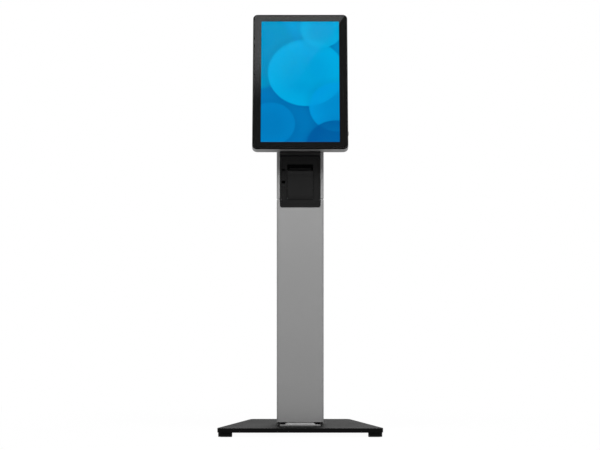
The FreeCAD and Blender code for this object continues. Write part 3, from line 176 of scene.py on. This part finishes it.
def stage_sheet(name, form):
    """A sheet of the studio, its empty material's end node, and a link on its Object coordinates."""
    mesh = bpy.data.meshes.new(name)
    form.to_mesh(mesh)
    form.free()
    sheet = bpy.data.objects.new(name, mesh)
    bpy.context.scene.collection.objects.link(sheet)
    paint = bpy.data.materials.new(name)
    paint.use_nodes = True
    mesh.materials.append(paint)
    paint.node_tree.nodes.clear()
    end = paint.node_tree.nodes.new("ShaderNodeOutputMaterial")
    return sheet, end, Link(paint.node_tree.nodes.new("ShaderNodeTexCoord").outputs["Object"])


floor_radius = 40.0
near_white = 0.97
near_radius = 0.5
far_radius = 1.6
floor_form = bmesh.new()
bmesh.ops.create_circle(floor_form, cap_ends=True, segments=96, radius=floor_radius)
floor_end, ground = stage_sheet("floor", floor_form)[1:]
distance = ground.node("ShaderNodeVectorMath", {"operation": "LENGTH"}, {0: ground}, output=1)
seen = ground.ray("Is Camera Ray")
shown = ground.math("MAXIMUM", seen, ground.ray("Is Glossy Ray"))
whiteness = shown * (near_white + (1 - near_white) * distance.ease(near_radius, far_radius))
matt = ground.node("ShaderNodeBsdfDiffuse", {}, {"Color": seen.blend((0.22, 0.22, 0.22), (0.9, 0.9, 0.9))})
plain_white = ground.node("ShaderNodeEmission", {}, {"Color": (1.0, 1.0, 1.0), "Strength": 1.0})
floor_look = ground.node("ShaderNodeMixShader", {}, {0: whiteness, 1: matt, 2: plain_white})
join(floor_end.inputs["Surface"], floor_look)


def soft_lamp(name, place, aim, width, height, power):
    """A rectangular softbox at place, turned to aim."""
    lamp = bpy.data.lights.new(name, "AREA")
    lamp.shape = "RECTANGLE"
    lamp.size = width
    lamp.size_y = height
    lamp.energy = power
    softbox = bpy.data.objects.new(name, lamp)
    softbox.location = place
    softbox.rotation_euler = (Vector(aim) - Vector(place)).to_track_quat("-Z", "Y").to_euler()
    softbox.visible_camera = False
    bpy.context.scene.collection.objects.link(softbox)


soft_lamp("left_lamp", (-0.8, -1.3, 2.9), (0, -0.1, 0.8), width=0.8, height=0.8, power=44)
soft_lamp("right_lamp", (0.8, -1.3, 2.9), (0, -0.1, 0.8), width=0.8, height=0.8, power=50)
soft_lamp("rear_lamp", (0.6, 3.2, 2.8), (0, 0, 0.9), width=2.0, height=1.4, power=60)

face_lean = math.radians(27)
face_normal = Vector((0, -math.cos(face_lean), math.sin(face_lean)))
picture_low, picture_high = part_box("display_layer")
picture_middle = (picture_low + picture_high) / 2
pane_thickness = 0.003
layer_thickness = 0.0004
face_middle = picture_middle + face_normal * (pane_thickness + layer_thickness / 2)
card_distance = 2.0
glare_corners = ((249, 10), (349, 10), (340, 22), (316, 55), (303, 74), (283, 103), (272, 116), (249, 116))
glare_full_row = 48
glare_end_row = 106


def card_point(column, row):
    """Where a ray through that picture point, mirrored by the screen, meets the card's plane."""
    ray = Vector((column - picture_width / 2, focal_pixels, picture_height / 2 - row)).normalized()
    start = Vector(camera.location)
    hit = start + ray * ((face_middle - start).dot(face_normal) / ray.dot(face_normal))
    away = ray.reflect(face_normal)
    centre_ray = (face_middle - start).normalized().reflect(face_normal)
    to_card = face_middle + centre_ray * card_distance - hit
    return hit + away * (to_card.dot(centre_ray) / away.dot(centre_ray))


card_form = bmesh.new()
card_corners = [card_form.verts.new(card_point(*corner)) for corner in glare_corners]
bmesh.ops.contextual_create(card_form, geom=card_corners)
card, card_end, on_card = stage_sheet("glare_card", card_form)
card.visible_camera = False
card_glow = 1.9
card_height = on_card.parts()[2]
middle_column = picture_width / 2
fade_end, fade_start = [card_point(middle_column, row).z for row in (glare_end_row, glare_full_row)]
fade = card_height.ease(fade_end, fade_start)
glow = on_card.node("ShaderNodeEmission", {}, {"Color": (1.0, 1.0, 1.0),
                                               "Strength": room_grey + (card_glow - room_grey) * fade})
join(card_end.inputs["Surface"], glow)


# Rubber feet
# Four moulded pads that carry the plate, each held by a screw in a recess. The rubber is dull and slightly
# dusty, with a fine pitted skin from the mould.

def noise(self, scale, detail=2.0):
    """Even noise between 0 and 1, about one metre over scale in size."""
    return self.node("ShaderNodeTexNoise", {}, {"Vector": self, "Scale": scale, "Detail": detail})


def stretched(self, x, y, z):
    """The same coordinates multiplied along each axis, for a pattern that runs one way."""
    return self.node("ShaderNodeMapping", {}, {"Vector": self, "Scale": (x, y, z)})


def bump(self, height, strength=0.5):
    """A surface normal raised by this value, height metres at 1."""
    return self.node("ShaderNodeBump", {}, {"Height": self, "Distance": height, "Strength": strength})


Link.noise = noise
Link.stretched = stretched
Link.bump = bump


def painted(name, look):
    """A material. look is given its Object coordinates and says what goes into the Principled shader."""
    made = bpy.data.materials.new(name)
    made.use_nodes = True
    nodes = made.node_tree.nodes
    place = Link(nodes.new("ShaderNodeTexCoord").outputs["Object"])
    for socket, value in look(place).items():
        join(nodes["Principled BSDF"].inputs[socket], value)
    return made


def grey(value):
    return (value, value, value)


def coat(piece, material):
    """Gives a piece that material alone."""
    piece.data.materials.clear()
    piece.data.materials.append(material)


def body_of(node):
    return frame["nodes"][node]["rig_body"]


crease_angle = math.radians(40)
rounded_angle = math.radians(35)
flat_angle = math.radians(0.5)


def new_piece(name, form, body, material):
    """A finished mesh as a piece of the object, smooth across all but its creases."""
    mesh = bpy.data.meshes.new(name)
    form.to_mesh(mesh)
    form.free()
    piece = bpy.data.objects.new(name, mesh)
    bpy.context.scene.collection.objects.link(piece)
    coat(piece, material)
    piece.data.shade_smooth()
    piece.data.set_sharp_from_angle(angle=crease_angle)
    piece.modifiers.new("normals", "WEIGHTED_NORMAL").keep_sharp = True
    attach(piece, body)
    return piece


def eased(node, name, material, edge, merge=0.00002):
    """The same piece as a clean mesh whose sharp edges are rounded by edge metres, in place of the node."""
    form = bmesh.new()
    form.from_mesh(frame["nodes"][node].data)
    bmesh.ops.remove_doubles(form, verts=form.verts[:], dist=merge)
    bmesh.ops.dissolve_degenerate(form, edges=form.edges[:], dist=merge)
    bmesh.ops.dissolve_limit(form, angle_limit=flat_angle, verts=form.verts[:], edges=form.edges[:])
    corners = [side for side in form.edges
               if len(side.link_faces) == 2 and side.calc_face_angle(0) > rounded_angle]
    bmesh.ops.bevel(form, geom=corners, offset=edge, offset_type="OFFSET", segments=2, profile=0.5,
                    affect="EDGES", material=-1, clamp_overlap=True)
    piece = new_piece(name, form, body_of(node), material)
    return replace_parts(piece, node)


def rubber_look(place):
    pits = place.noise(1800)
    dust = place.noise(60, 3.0)
    return {"Base Color": (0.5 * pits + 0.5 * dust).blend(grey(0.003), grey(0.007)),
            "Roughness": 0.62 + 0.2 * dust,
            "Specular IOR Level": 0.12,
            "Normal": pits.bump(0.00008, 0.4)}


foot_rubber = painted("foot_rubber", rubber_look)
eased("rubber_feet", "moulded_feet", foot_rubber, edge=0.0008)


# Zinc-plated hardware
# Screws, nuts, pins, shafts and the display's pressed back, which came from a barrel-plating line: pale
# blue-grey, with clouds in the plating and fine scratches round and along the metal.

def zinc_look(place):
    clouds = place.noise(140, 3.0)
    scratches = place.stretched(60, 2200, 2200).noise(1.0, 3.0)
    return {"Base Color": clouds.blend((0.40, 0.41, 0.43), (0.58, 0.59, 0.61)),
            "Metallic": 1.0,
            "Roughness": 0.26 + 0.16 * clouds + 0.1 * scratches,
            "Normal": scratches.bump(0.00002, 0.35)}


zinc_plate = painted("zinc_plate", zinc_look)
for node in ("foot_screws", "column_bolts", "hinge_pins", "pivot_shaft", "pivot_nuts", "arm_screws",
             "cover_pins", "platen_shaft", "display_module"):
    coat(frame["nodes"][node], zinc_plate)


# Base plate
# Thick steel cut to a trapezoid, its edges broken and the whole plate powder-coated black with a fine
# leathery texture. The top is a little scuffed and dusty.

def black_steel_look(place):
    leather = place.noise(1100, 3.0)
    wide = place.noise(9, 4.0)
    scuffs = place.stretched(30, 90, 30).noise(1.0, 5.0).ease(0.62, 0.8)
    shade = 0.35 * leather + 0.65 * wide
    return {"Base Color": (shade + 0.3 * scuffs).blend(grey(0.0015), grey(0.0045)),
            "Roughness": 0.6 + 0.12 * wide - 0.1 * scuffs,
            "Specular IOR Level": 0.08,
            "Normal": leather.bump(0.00012, 0.5)}


black_steel = painted("black_steel", black_steel_look)
eased("base_plate", "coated_base_plate", black_steel, edge=0.0006)


# Silver powder coat
# The column's two shells, its foot, the tray and the rear door are folded steel sheet under one satin silver
# coat. Tiny metal flakes and a faint orange peel show close up.

def silver_look(place):
    flakes = place.noise(3400, 1.0).ease(0.35, 0.75)
    peel = place.noise(420, 1.0)
    wide = place.noise(5, 3.0)
    return {"Base Color": (0.45 * flakes + 0.55 * wide).blend(grey(0.36), grey(0.42)),
            "Metallic": 0.25,
            "Roughness": 0.4 + 0.08 * peel + 0.05 * wide,
            "Normal": (peel + 0.15 * flakes).bump(0.00006, 0.35)}


silver_coat = painted("silver_coat", silver_look)
eased("column_foot", "coated_column_foot", silver_coat, edge=0.0006, merge=0.0003)
eased("column_body", "coated_column", silver_coat, edge=0.0005, merge=0.0003)
eased("upper_shell", "coated_upper_shell", silver_coat, edge=0.0005, merge=0.0003)
eased("printer_tray", "coated_printer_tray", silver_coat, edge=0.0004)
eased("rear_door", "coated_rear_door", silver_coat, edge=0.0007)


# Black sheet parts behind the screen
# The cable guard, the column's hinge bracket and the tilt arm are thinner black-coated sheet, smoother than
# the plate.

def black_sheet_look(place):
    leather = place.noise(1500, 2.0)
    wide = place.noise(22, 3.0)
    return {"Base Color": (0.4 * leather + 0.6 * wide).blend(grey(0.012), grey(0.022)),
            "Roughness": 0.48 + 0.14 * wide,
            "Specular IOR Level": 0.35,
            "Normal": leather.bump(0.00008, 0.4)}


black_sheet = painted("black_sheet", black_sheet_look)
eased("cable_guard", "coated_cable_guard", black_sheet, edge=0.0003)
eased("column_bracket", "coated_bracket", black_sheet, edge=0.0005)
eased("tilt_arm", "coated_tilt_arm", black_sheet, edge=0.0005)


# Black moulded plastic
# Injection-moulded covers with a spark-eroded grain: the column's cap, the port cover, the keys and the
# whole outside of the receipt printer.

def moulded_look(place):
    grain = place.noise(2600, 2.0)
    coarse = place.noise(700, 2.0)
    wide = place.noise(16, 3.0)
    return {"Base Color": (0.5 * grain + 0.5 * wide).blend(grey(0.006), grey(0.011)),
            "Roughness": 0.46 + 0.1 * coarse + 0.08 * wide,
            "Specular IOR Level": 0.16,
            "Normal": (grain + 0.6 * coarse).bump(0.00005, 0.45)}


moulded_black = painted("moulded_black", moulded_look)
for node, name, edge in (("top_cap", "moulded_top_cap", 0.0005),
                         ("power_adapter", "moulded_adapter", 0.0014),
                         ("port_cover", "moulded_port_cover", 0.0009),
                         ("screen_power_key", "moulded_screen_key", 0.0005),
                         ("speakers", "moulded_speakers", 0.0006),
                         ("printer_surround", "moulded_surround", 0.0007),
                         ("printer_case", "moulded_printer_case", 0.0005),
                         ("printer_cover", "moulded_paper_cover", 0.0007),
                         ("roll_bucket", "moulded_roll_bucket", 0.0005),
                         ("cover_lever", "moulded_lever", 0.0005),
                         ("feed_key", "moulded_feed_key", 0.0006),
                         ("power_key", "moulded_power_key", 0.0006)):
    eased(node, name, moulded_black, edge)


# Cutter frame
# The block above the paper slot is moulded black, rough and nearly without sheen. Its colour is darker than
# the case's, painted shade so that the slot looks black, and it lies in the shade of the case's brow.

def slot_shade_look(place):
    fibres = place.noise(1900, 3.0)
    # The near-black colour is painted shade for the paper slot.
    return {"Base Color": fibres.blend(grey(0.001), grey(0.003)),
            "Roughness": 0.75 + 0.15 * fibres,
            "Specular IOR Level": 0.05,
            "Normal": fibres.bump(0.00005, 0.5)}


slot_shade_black = painted("slot_shade_black", slot_shade_look)
eased("cutter_frame", "moulded_cutter_frame", slot_shade_black, edge=0.0008)


# Rear housing
# The screen's back is one moulding painted satin silver to match the column, with a row of cooling slots.

def silver_paint_look(place):
    flakes = place.noise(3800, 1.0).ease(0.4, 0.75)
    wide = place.noise(6, 3.0)
    return {"Base Color": (0.4 * flakes + 0.6 * wide).blend(grey(0.35), grey(0.41)),
            "Metallic": 0.25,
            "Roughness": 0.36 + 0.08 * wide,
            "Normal": flakes.bump(0.00003, 0.3)}


silver_paint = painted("silver_paint", silver_paint_look)
eased("rear_housing", "painted_rear_housing", silver_paint, edge=0.0005, merge=0.0002)


# Screws
# Countersunk screws with a six-sided socket hold the shells, and smaller ones close the screen's housing.
# Each is turned, with a hexagon punched into its head.

def islands(node):
    """The boxes of a node's separate solids."""
    form = bmesh.new()
    form.from_mesh(frame["nodes"][node].data)
    bmesh.ops.remove_doubles(form, verts=form.verts[:], dist=0.00001)
    left = set(form.verts)
    boxes = []
    while left:
        group = [left.pop()]
        for vertex in group:
            fresh = [edge.other_vert(vertex) for edge in vertex.link_edges]
            fresh = [other for other in fresh if other in left]
            left.difference_update(fresh)
            group.extend(fresh)
        axes = list(zip(*[vertex.co for vertex in group]))
        boxes.append((Vector([min(axis) for axis in axes]), Vector([max(axis) for axis in axes])))
    form.free()
    return sorted(boxes, key=lambda box: tuple(round(value, 5) for value in box[0]))


def drawn_out(form, edges):
    """The new vertices of those edges extruded, still in the old place."""
    grown = bmesh.ops.extrude_edge_only(form, edges=edges)["geom"]
    return [item for item in grown if isinstance(item, bmesh.types.BMVert)]


def add_screw(form, place, outward, rim, dome, shank, socket, length):
    """A screw whose rim lies at place: a low dome with a hexagonal socket, and its shank."""
    socket_depth = 1.3 * socket
    screw = bmesh.new()
    ring = bmesh.ops.create_circle(screw, segments=24, radius=rim)["verts"]
    hexagon = bmesh.ops.create_circle(screw, segments=6, radius=socket)["verts"]
    bmesh.ops.translate(screw, verts=hexagon, vec=(0, 0, dome))
    outer_edges = [edge for edge in screw.edges if edge.verts[0] in ring]
    socket_edges = [edge for edge in screw.edges if edge.verts[0] in hexagon]
    bmesh.ops.bridge_loops(screw, edges=screw.edges[:])
    sunk = drawn_out(screw, socket_edges)
    bmesh.ops.translate(screw, verts=sunk, vec=(0, 0, -socket_depth - dome))
    bmesh.ops.contextual_create(screw, geom=sunk)
    neck = drawn_out(screw, outer_edges)
    bmesh.ops.scale(screw, verts=neck, vec=(shank / rim, shank / rim, 1))
    bmesh.ops.translate(screw, verts=neck, vec=(0, 0, shank - rim))
    neck_edges = [edge for edge in screw.edges if edge.verts[0] in neck and edge.verts[1] in neck]
    tip = drawn_out(screw, neck_edges)
    bmesh.ops.translate(screw, verts=tip, vec=(0, 0, rim - shank - length))
    bmesh.ops.contextual_create(screw, geom=tip)
    bmesh.ops.recalc_face_normals(screw, faces=screw.faces[:])
    turn = Vector((0, 0, 1)).rotation_difference(outward).to_matrix().to_4x4()
    bmesh.ops.transform(screw, matrix=Matrix.Translation(place) @ turn, verts=screw.verts[:])
    made = bpy.data.meshes.new("screw")
    screw.to_mesh(made)
    screw.free()
    form.from_mesh(made)
    bpy.data.meshes.remove(made)


sheet_screw = {"rim": 0.0038, "dome": 0.0002, "shank": 0.002, "socket": 0.0014}
side_screw_length = 0.006
rear_screw_length = 0.0065
side_screws_from = 0.07
sheet_form = bmesh.new()
for low, high in islands("sheet_screws"):
    middle = (low + high) / 2
    if abs(middle.x) > side_screws_from:
        side = math.copysign(1, middle.x)
        add_screw(sheet_form, Vector((side * max(abs(low.x), abs(high.x)), middle.y, middle.z)),
                  Vector((side, 0, 0)), **sheet_screw, length=side_screw_length)
    else:
        add_screw(sheet_form, Vector((middle.x, high.y, middle.z)), Vector((0, 1, 0)),
                  **sheet_screw, length=rear_screw_length)
sheet_screws = new_piece("socket_sheet_screws", sheet_form, "stand", zinc_plate)
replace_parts(sheet_screws, "sheet_screws")

housing_screw = {"rim": 0.0029, "dome": 0.0003, "shank": 0.0014, "socket": 0.001}
housing_screw_length = 0.006
housing_head_radius = 0.003
housing_rim_depth = 0.0004
up_the_back = Vector((0, -math.sin(face_lean), math.cos(face_lean)))
housing_form = bmesh.new()
for low, high in islands("housing_screws"):
    head_top = Vector(((low.x + high.x) / 2, high.y, low.z)) + up_the_back * housing_head_radius
    add_screw(housing_form, head_top + face_normal * housing_rim_depth, -face_normal,
              **housing_screw, length=housing_screw_length)
housing_screws = new_piece("socket_housing_screws", housing_form, "screen", zinc_plate)
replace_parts(housing_screws, "housing_screws")


# Plated sheet parts
# The adapter's shelf, the hinge leaves, the printer's side frames, the screen's chassis and the motor's can
# are pressed from steel sheet and zinc-plated like the screws.

for node, name, edge in (("adapter_shelf", "plated_adapter_shelf", 0.0003),
                         ("column_hinge_leaves", "plated_column_leaves", 0.0003),
                         ("door_hinge_leaves", "plated_door_leaves", 0.0003),
                         ("side_frames", "plated_side_frames", 0.0002),
                         ("display_chassis", "plated_chassis", 0.0002),
                         ("feed_motor", "plated_motor_can", 0.0006)):
    eased(node, name, zinc_plate, edge)


# Door lock
# A cam lock with a bright plated barrel. Its collar stands against the door and its key slot is upright when
# the cam hangs free.

def chrome_look(place):
    haze = place.noise(300, 2.0)
    return {"Base Color": (0.62, 0.63, 0.65),
            "Metallic": 1.0,
            "Roughness": 0.08 + 0.12 * haze}


lock_chrome = painted("lock_chrome", chrome_look)
eased("door_lock", "plated_door_lock", lock_chrome, edge=0.0005)


# Cable grommet and platen rubber
# Smooth black rubber: a ring snapped into the column's back for the mains lead, and the roller that feeds
# the paper.

def smooth_rubber_look(place):
    bloom = place.noise(110, 3.0)
    return {"Base Color": bloom.blend(grey(0.008), grey(0.015)),
            "Roughness": 0.42 + 0.2 * bloom,
            "Specular IOR Level": 0.35}


black_rubber = painted("black_rubber", smooth_rubber_look)
eased("cable_grommet", "rubber_grommet", black_rubber, edge=0.0007)
eased("platen_rubber", "rubber_platen", black_rubber, edge=0.0004)


# Adapter strap
# Woven hook-and-loop tape that holds the power adapter on its shelf. The weave is a plain one, with cords
# about a millimetre apart.

weave_scale = 290


def web_look(place):
    warp, weft = [place.node("ShaderNodeTexWave", {"bands_direction": axis},
                             {"Vector": place, "Scale": weave_scale}, output=1) for axis in "ZX"]
    cords = warp * weft
    fuzz = place.noise(2600)
    return {"Base Color": (0.6 * cords + 0.4 * fuzz).blend(grey(0.006), grey(0.028)),
            "Roughness": 0.82 + 0.1 * fuzz,
            "Sheen Weight": 0.35,
            "Normal": (cords + 0.3 * fuzz).bump(0.0003, 0.7)}


strap_web = painted("strap_web", web_look)
eased("adapter_strap", "woven_adapter_strap", strap_web, edge=0.0004)


# Bezel, glass and print
# A black frame with a polished face round a pane of toughened glass with a blacked ground edge. The frame's
# sides and rounded edges take the sheen-free black of the print: painted shade for the dark gap round the
# frame.
# The border is printed on the back of the glass, so it looks deep and mirrors the room.

def polished_look(place):
    haze = place.noise(45, 3.0)
    return {"Base Color": grey(0.004),
            "Roughness": 0.1 + 0.06 * haze,
            "Specular IOR Level": 0.4}


def print_and_shade_look(place):
    haze = place.noise(30, 3.0)
    return {"Base Color": haze.blend(grey(0.0005), grey(0.001)),
            "Roughness": 0.6 + 0.1 * haze,
            "Specular IOR Level": 0.0}


def glass_look(place):
    tint = place.noise(3.0)
    return {"Base Color": tint.blend((0.975, 0.99, 0.99), (0.98, 0.99, 0.985)),
            "Roughness": 0.0,
            "Transmission Weight": 1.0,
            "IOR": 1.45}


def coated_glass_look(place):
    return {**glass_look(place), "IOR": 1.1}


polished_black = painted("polished_black", polished_look)
black_print = painted("black_print", print_and_shade_look)
toughened_glass = painted("toughened_glass", glass_look)
coated_glass = painted("coated_glass", coated_glass_look)

flat_on = 0.995
bezel = eased("bezel_frame", "polished_bezel", polished_black, edge=0.0003)
bezel.data.materials.append(black_print)
# Every face of the frame but its front takes the print's black, painted shade for the gap round the frame.
for face in bezel.data.polygons:
    if abs(face.normal.dot(face_normal)) < flat_on:
        face.material_index = 1
pane = eased("cover_glass", "toughened_pane", toughened_glass, edge=0.00015)
pane.data.materials.append(coated_glass)
pane.data.materials.append(black_print)

screen_turn = Matrix.Rotation(-face_lean, 4, "X")
screen_frame = Matrix.Translation(face_middle) @ screen_turn
picture_ratio = 16 / 9
picture_half_width = picture_high.x
picture_half_height = picture_half_width * picture_ratio
face_up = screen_turn @ Vector((0, 0, 1))
air_gap = 0.00005
rear_from = 0.9 * pane_thickness
pane_form = bmesh.new()
pane_form.from_mesh(pane.data)
for across, reach in ((Vector((1, 0, 0)), picture_half_width), (face_up, picture_half_height)):
    for side in (-1, 1):
        bmesh.ops.bisect_plane(pane_form, geom=pane_form.verts[:] + pane_form.edges[:] + pane_form.faces[:],
                               plane_co=face_middle + across * side * reach, plane_no=across)
for vertex in pane_form.verts:
    if (vertex.co - face_middle).dot(face_normal) < -rear_from:
        vertex.co += face_normal * air_gap
for face in pane_form.faces:
    place = face.calc_center_median() - face_middle
    if abs(face.normal.dot(face_normal)) < flat_on:
        face.material_index = 2
    elif abs(place.x) < picture_half_width and abs(place.dot(face_up)) < picture_half_height:
        face.material_index = 1
pane_form.to_mesh(pane.data)
pane_form.free()
pane.modifiers.clear()
pane.data.shade_flat()

print_thickness = 0.00005
print_from_back = 0.0002
print_depth = pane_thickness - print_from_back
print_inset = 0.0004
print_half_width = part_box("cover_glass")[1].x - print_inset
narrower_at_ends = 0.00315
print_half_height = picture_half_height + print_half_width - picture_half_width - narrower_at_ends
print_corner = 0.012
border_form = bmesh.new()
upright = Matrix.Translation((0, print_depth, 0)) @ Matrix.Rotation(math.radians(90), 4, "X")
outer = bmesh.ops.create_grid(border_form, x_segments=1, y_segments=1, size=1.0, matrix=upright)["verts"]
bmesh.ops.scale(border_form, verts=outer, vec=(print_half_width, 1, print_half_height))
bmesh.ops.bevel(border_form, geom=outer, offset=print_corner, offset_type="OFFSET", segments=8, profile=0.5,
                affect="VERTICES", material=-1)
inner = bmesh.ops.create_grid(border_form, x_segments=1, y_segments=1, size=1.0, matrix=upright)["verts"]
bmesh.ops.scale(border_form, verts=inner, vec=(picture_half_width, 1, picture_half_height))
bmesh.ops.delete(border_form, geom=border_form.faces[:], context="FACES_ONLY")
bmesh.ops.triangle_fill(border_form, use_beauty=True, edges=border_form.edges[:])
bmesh.ops.solidify(border_form, geom=border_form.faces[:], thickness=print_thickness)
bmesh.ops.recalc_face_normals(border_form, faces=border_form.faces[:])
bmesh.ops.transform(border_form, matrix=screen_frame, verts=border_form.verts[:])
border = new_piece("printed_border", border_form, "screen", black_print)
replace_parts(border, "glass_border")


# Lit picture
# A 21.5 inch display behind the glass. It shows a plain pattern of wide overlapping discs in clear blues,
# lightest at the upper right and darkest at the lower right.

picture_discs = (((-0.20, -2.20), 2.10, (0.000, 0.160, 0.480), 0.65),
                 ((1.50, 0.95), 1.40, (0.000, 0.250, 0.600), 0.80),
                 ((-1.30, 0.90), 1.15, (0.000, 0.300, 0.560), 0.80),
                 ((0.15, 0.25), 0.98, (0.000, 0.430, 0.800), 0.85),
                 ((0.95, -0.75), 0.72, (0.000, 0.330, 0.745), 0.80),
                 ((-0.75, -1.25), 0.62, (0.000, 0.240, 0.600), 0.70),
                 ((0.55, 1.55), 0.55, (0.002, 0.450, 0.790), 0.75),
                 ((0.90, -1.90), 0.75, (0.000, 0.090, 0.330), 0.80))
disc_shade = 0.16
shade_inside = 0.05
shade_outside = 0.22
rim_softness = 0.01


def picture_look(place):
    x, _, z = place.parts()
    across = (x - picture_middle.x) * (1 / picture_half_width)
    up = (z - picture_middle.z) * (1 / (picture_half_width * math.cos(face_lean)))
    flat = across.node("ShaderNodeCombineXYZ", {}, {0: across, 1: up})
    picture = (0.6 * up + 0.15 * across).ease(-1.5, 1.2).blend((0.000, 0.190, 0.500), (0.000, 0.340, 0.680))
    for (disc_x, disc_up), radius, tint, weight in picture_discs:
        reach = flat.node("ShaderNodeVectorMath", {"operation": "DISTANCE"},
                          {0: flat, 1: (disc_x, disc_up, 0.0)}, output=1)
        shade = disc_shade * (1 - reach.ease(radius - shade_inside, radius + shade_outside))
        picture = shade.blend(picture, (0.000, 0.040, 0.220))
        rim = 1 - reach.ease(radius - rim_softness, radius + rim_softness)
        picture = (rim * (weight * (0.7 + 0.3 * reach.ease(0.3 * radius, radius)))).blend(picture, tint)
    return {"Base Color": grey(0.0),
            "Roughness": 0.5,
            "Specular IOR Level": 0.0,
            "Emission Color": picture,
            "Emission Strength": 1.03}


lit_picture = painted("lit_picture", picture_look)
coat(frame["nodes"]["display_layer"], lit_picture)


# Circuit boards
# The screen's main board and the two boards of the printer: green solder mask over copper tracks, with
# moulded parts standing on them.

def board_look(place):
    tracks = place.node("ShaderNodeTexBrick", {}, {"Vector": place.stretched(1, 0, 1), "Scale": 130.0,
                                                   "Mortar Size": 0.03}, output=1)
    fill = place.noise(70, 2.0)
    return {"Base Color": (0.7 * tracks + 0.3 * fill).blend((0.006, 0.045, 0.018), (0.03, 0.13, 0.05)),
            "Roughness": 0.3 + 0.2 * fill,
            "Normal": tracks.bump(0.00004, 0.6)}


solder_mask = painted("solder_mask", board_look)
coat(frame["nodes"]["main_board"], solder_mask)
coat(frame["nodes"]["printer_boards"], solder_mask)


# Aluminium
# The processor's heat sink is extruded and left bare, with long die lines. The thermal print head's heat
# plate is anodised black, and its near-black colour is also painted shade, so that the paper slot in front
# of it looks black.

def aluminium_look(place):
    lines = place.stretched(2400, 2400, 30).noise(1.0, 3.0)
    return {"Base Color": lines.blend(grey(0.5), grey(0.66)),
            "Metallic": 1.0,
            "Roughness": 0.3 + 0.18 * lines,
            "Normal": lines.bump(0.00002, 0.4)}


bare_aluminium = painted("bare_aluminium", aluminium_look)
eased("heat_sink", "extruded_heat_sink", bare_aluminium, edge=0.0002)


def shaded_anodised_look(place):
    lines = place.stretched(30, 1500, 1500).noise(1.0, 2.0)
    # The near-black colour is partly anodising and partly painted shade for the paper slot.
    return {"Base Color": lines.blend(grey(0.006), grey(0.014)),
            "Metallic": 0.4,
            "Roughness": 0.45 + 0.15 * lines}


shaded_black_anodised = painted("shaded_black_anodised", shaded_anodised_look)
eased("print_head", "thermal_print_head", shaded_black_anodised, edge=0.0003)


# Receipt roll
# Thermal paper wound on a card tube. Its ends show the edges of the turns and its outside is smooth and a
# little glossy.

roll_low, roll_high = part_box("paper_roll")
roll_middle = (roll_low + roll_high) / 2


def from_roll_axis(place):
    """The distance from the roll's axis, as a vector for a pattern of rings."""
    level = place.node("ShaderNodeVectorMath", {"operation": "SUBTRACT"}, {0: place, 1: tuple(roll_middle)})
    reach = level.node("ShaderNodeVectorMath", {"operation": "LENGTH"},
                       {0: level.stretched(0, 1, 1)}, output=1)
    return reach.node("ShaderNodeCombineXYZ", {}, {0: reach})


def paper_look(place):
    turns = from_roll_axis(place).noise(2600, 3.0)
    clouds = place.noise(25, 3.0)
    return {"Base Color": (0.75 * turns + 0.25 * clouds).blend((0.70, 0.70, 0.68), (0.86, 0.86, 0.84)),
            "Roughness": 0.5 + 0.15 * turns,
            "Normal": turns.bump(0.00006, 0.6)}


def card_look(place):
    fibres = place.stretched(1, 5, 5).noise(300, 4.0)
    return {"Base Color": fibres.blend((0.30, 0.19, 0.10), (0.46, 0.33, 0.20)),
            "Roughness": 0.8 + 0.1 * fibres,
            "Normal": fibres.bump(0.0001, 0.5)}


receipt_paper = painted("receipt_paper", paper_look)
wound_board = painted("wound_board", card_look)
eased("paper_roll", "wound_paper_roll", receipt_paper, edge=0.0003)
coat(frame["nodes"]["roll_core"], wound_board)


# Gears and washers
# Natural acetal, cut for the feed gears and punched for the friction washers of the tilt hinge. It is waxy
# and slightly see-through at thin edges.

def acetal_look(place):
    flow = place.noise(200, 2.0)
    return {"Base Color": flow.blend((0.60, 0.59, 0.53), (0.72, 0.71, 0.66)),
            "Roughness": 0.34 + 0.12 * flow,
            "Subsurface Weight": 0.2,
            "Subsurface Scale": 0.001}


acetal = painted("acetal", acetal_look)
for node in ("friction_washers", "platen_gear", "motor_pinion"):
    coat(frame["nodes"][node], acetal)


# Cutter blade
# A strip of ground tool steel with fine teeth along its edge, blackened, and its near-black colour is also
# painted shade so that it hardly shows in the slot.

def blackened_shaded_look(place):
    grinding = place.stretched(40, 2500, 2500).noise(1.0, 3.0)
    # Near black: partly blackened steel, partly painted shade for the slot.
    return {"Base Color": grinding.blend(grey(0.008), grey(0.02)),
            "Metallic": 0.3,
            "Roughness": 0.4 + 0.15 * grinding,
            "Specular IOR Level": 0.3}


blade_steel = painted("blade_steel", blackened_shaded_look)
blade_low, blade_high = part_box("cutter_blade")
tooth_count = 54
tooth_depth = 0.0009
blade_thickness = 0.0006
tooth_pitch = (blade_high.x - blade_low.x) / tooth_count
blade_form = bmesh.new()
blade_level = (blade_low.z + blade_high.z) / 2
blade_middle = (blade_low.y + blade_high.y) / 2
strip = bmesh.ops.create_grid(blade_form, x_segments=2 * tooth_count, y_segments=1, size=0.5)["verts"]
bmesh.ops.scale(blade_form, verts=strip, vec=(blade_high.x - blade_low.x, blade_high.y - blade_low.y, 1))
bmesh.ops.translate(blade_form, verts=strip, vec=(0, blade_middle, blade_level))
for vertex in strip:
    half_teeth = round((vertex.co.x - blade_low.x) / tooth_pitch * 2)
    if vertex.co.y < blade_middle and half_teeth % 2 == 0:
        vertex.co.y += tooth_depth
bmesh.ops.solidify(blade_form, geom=blade_form.faces[:], thickness=blade_thickness)
bmesh.ops.recalc_face_normals(blade_form, faces=blade_form.faces[:])
blade = new_piece("toothed_cutter_blade", blade_form, "stand", blade_steel)
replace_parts(blade, "cutter_blade")


# Status lights
# Two small clear green lenses under the keys. Both are unlit, so they look almost black.

def lens_look(place):
    depth = place.noise(500)
    return {"Base Color": depth.blend((0.004, 0.012, 0.006), (0.008, 0.02, 0.01)),
            "Roughness": 0.15 + 0.05 * depth}


light_lens = painted("light_lens", lens_look)
eased("status_lights", "status_lenses", light_lens, edge=0.0003)
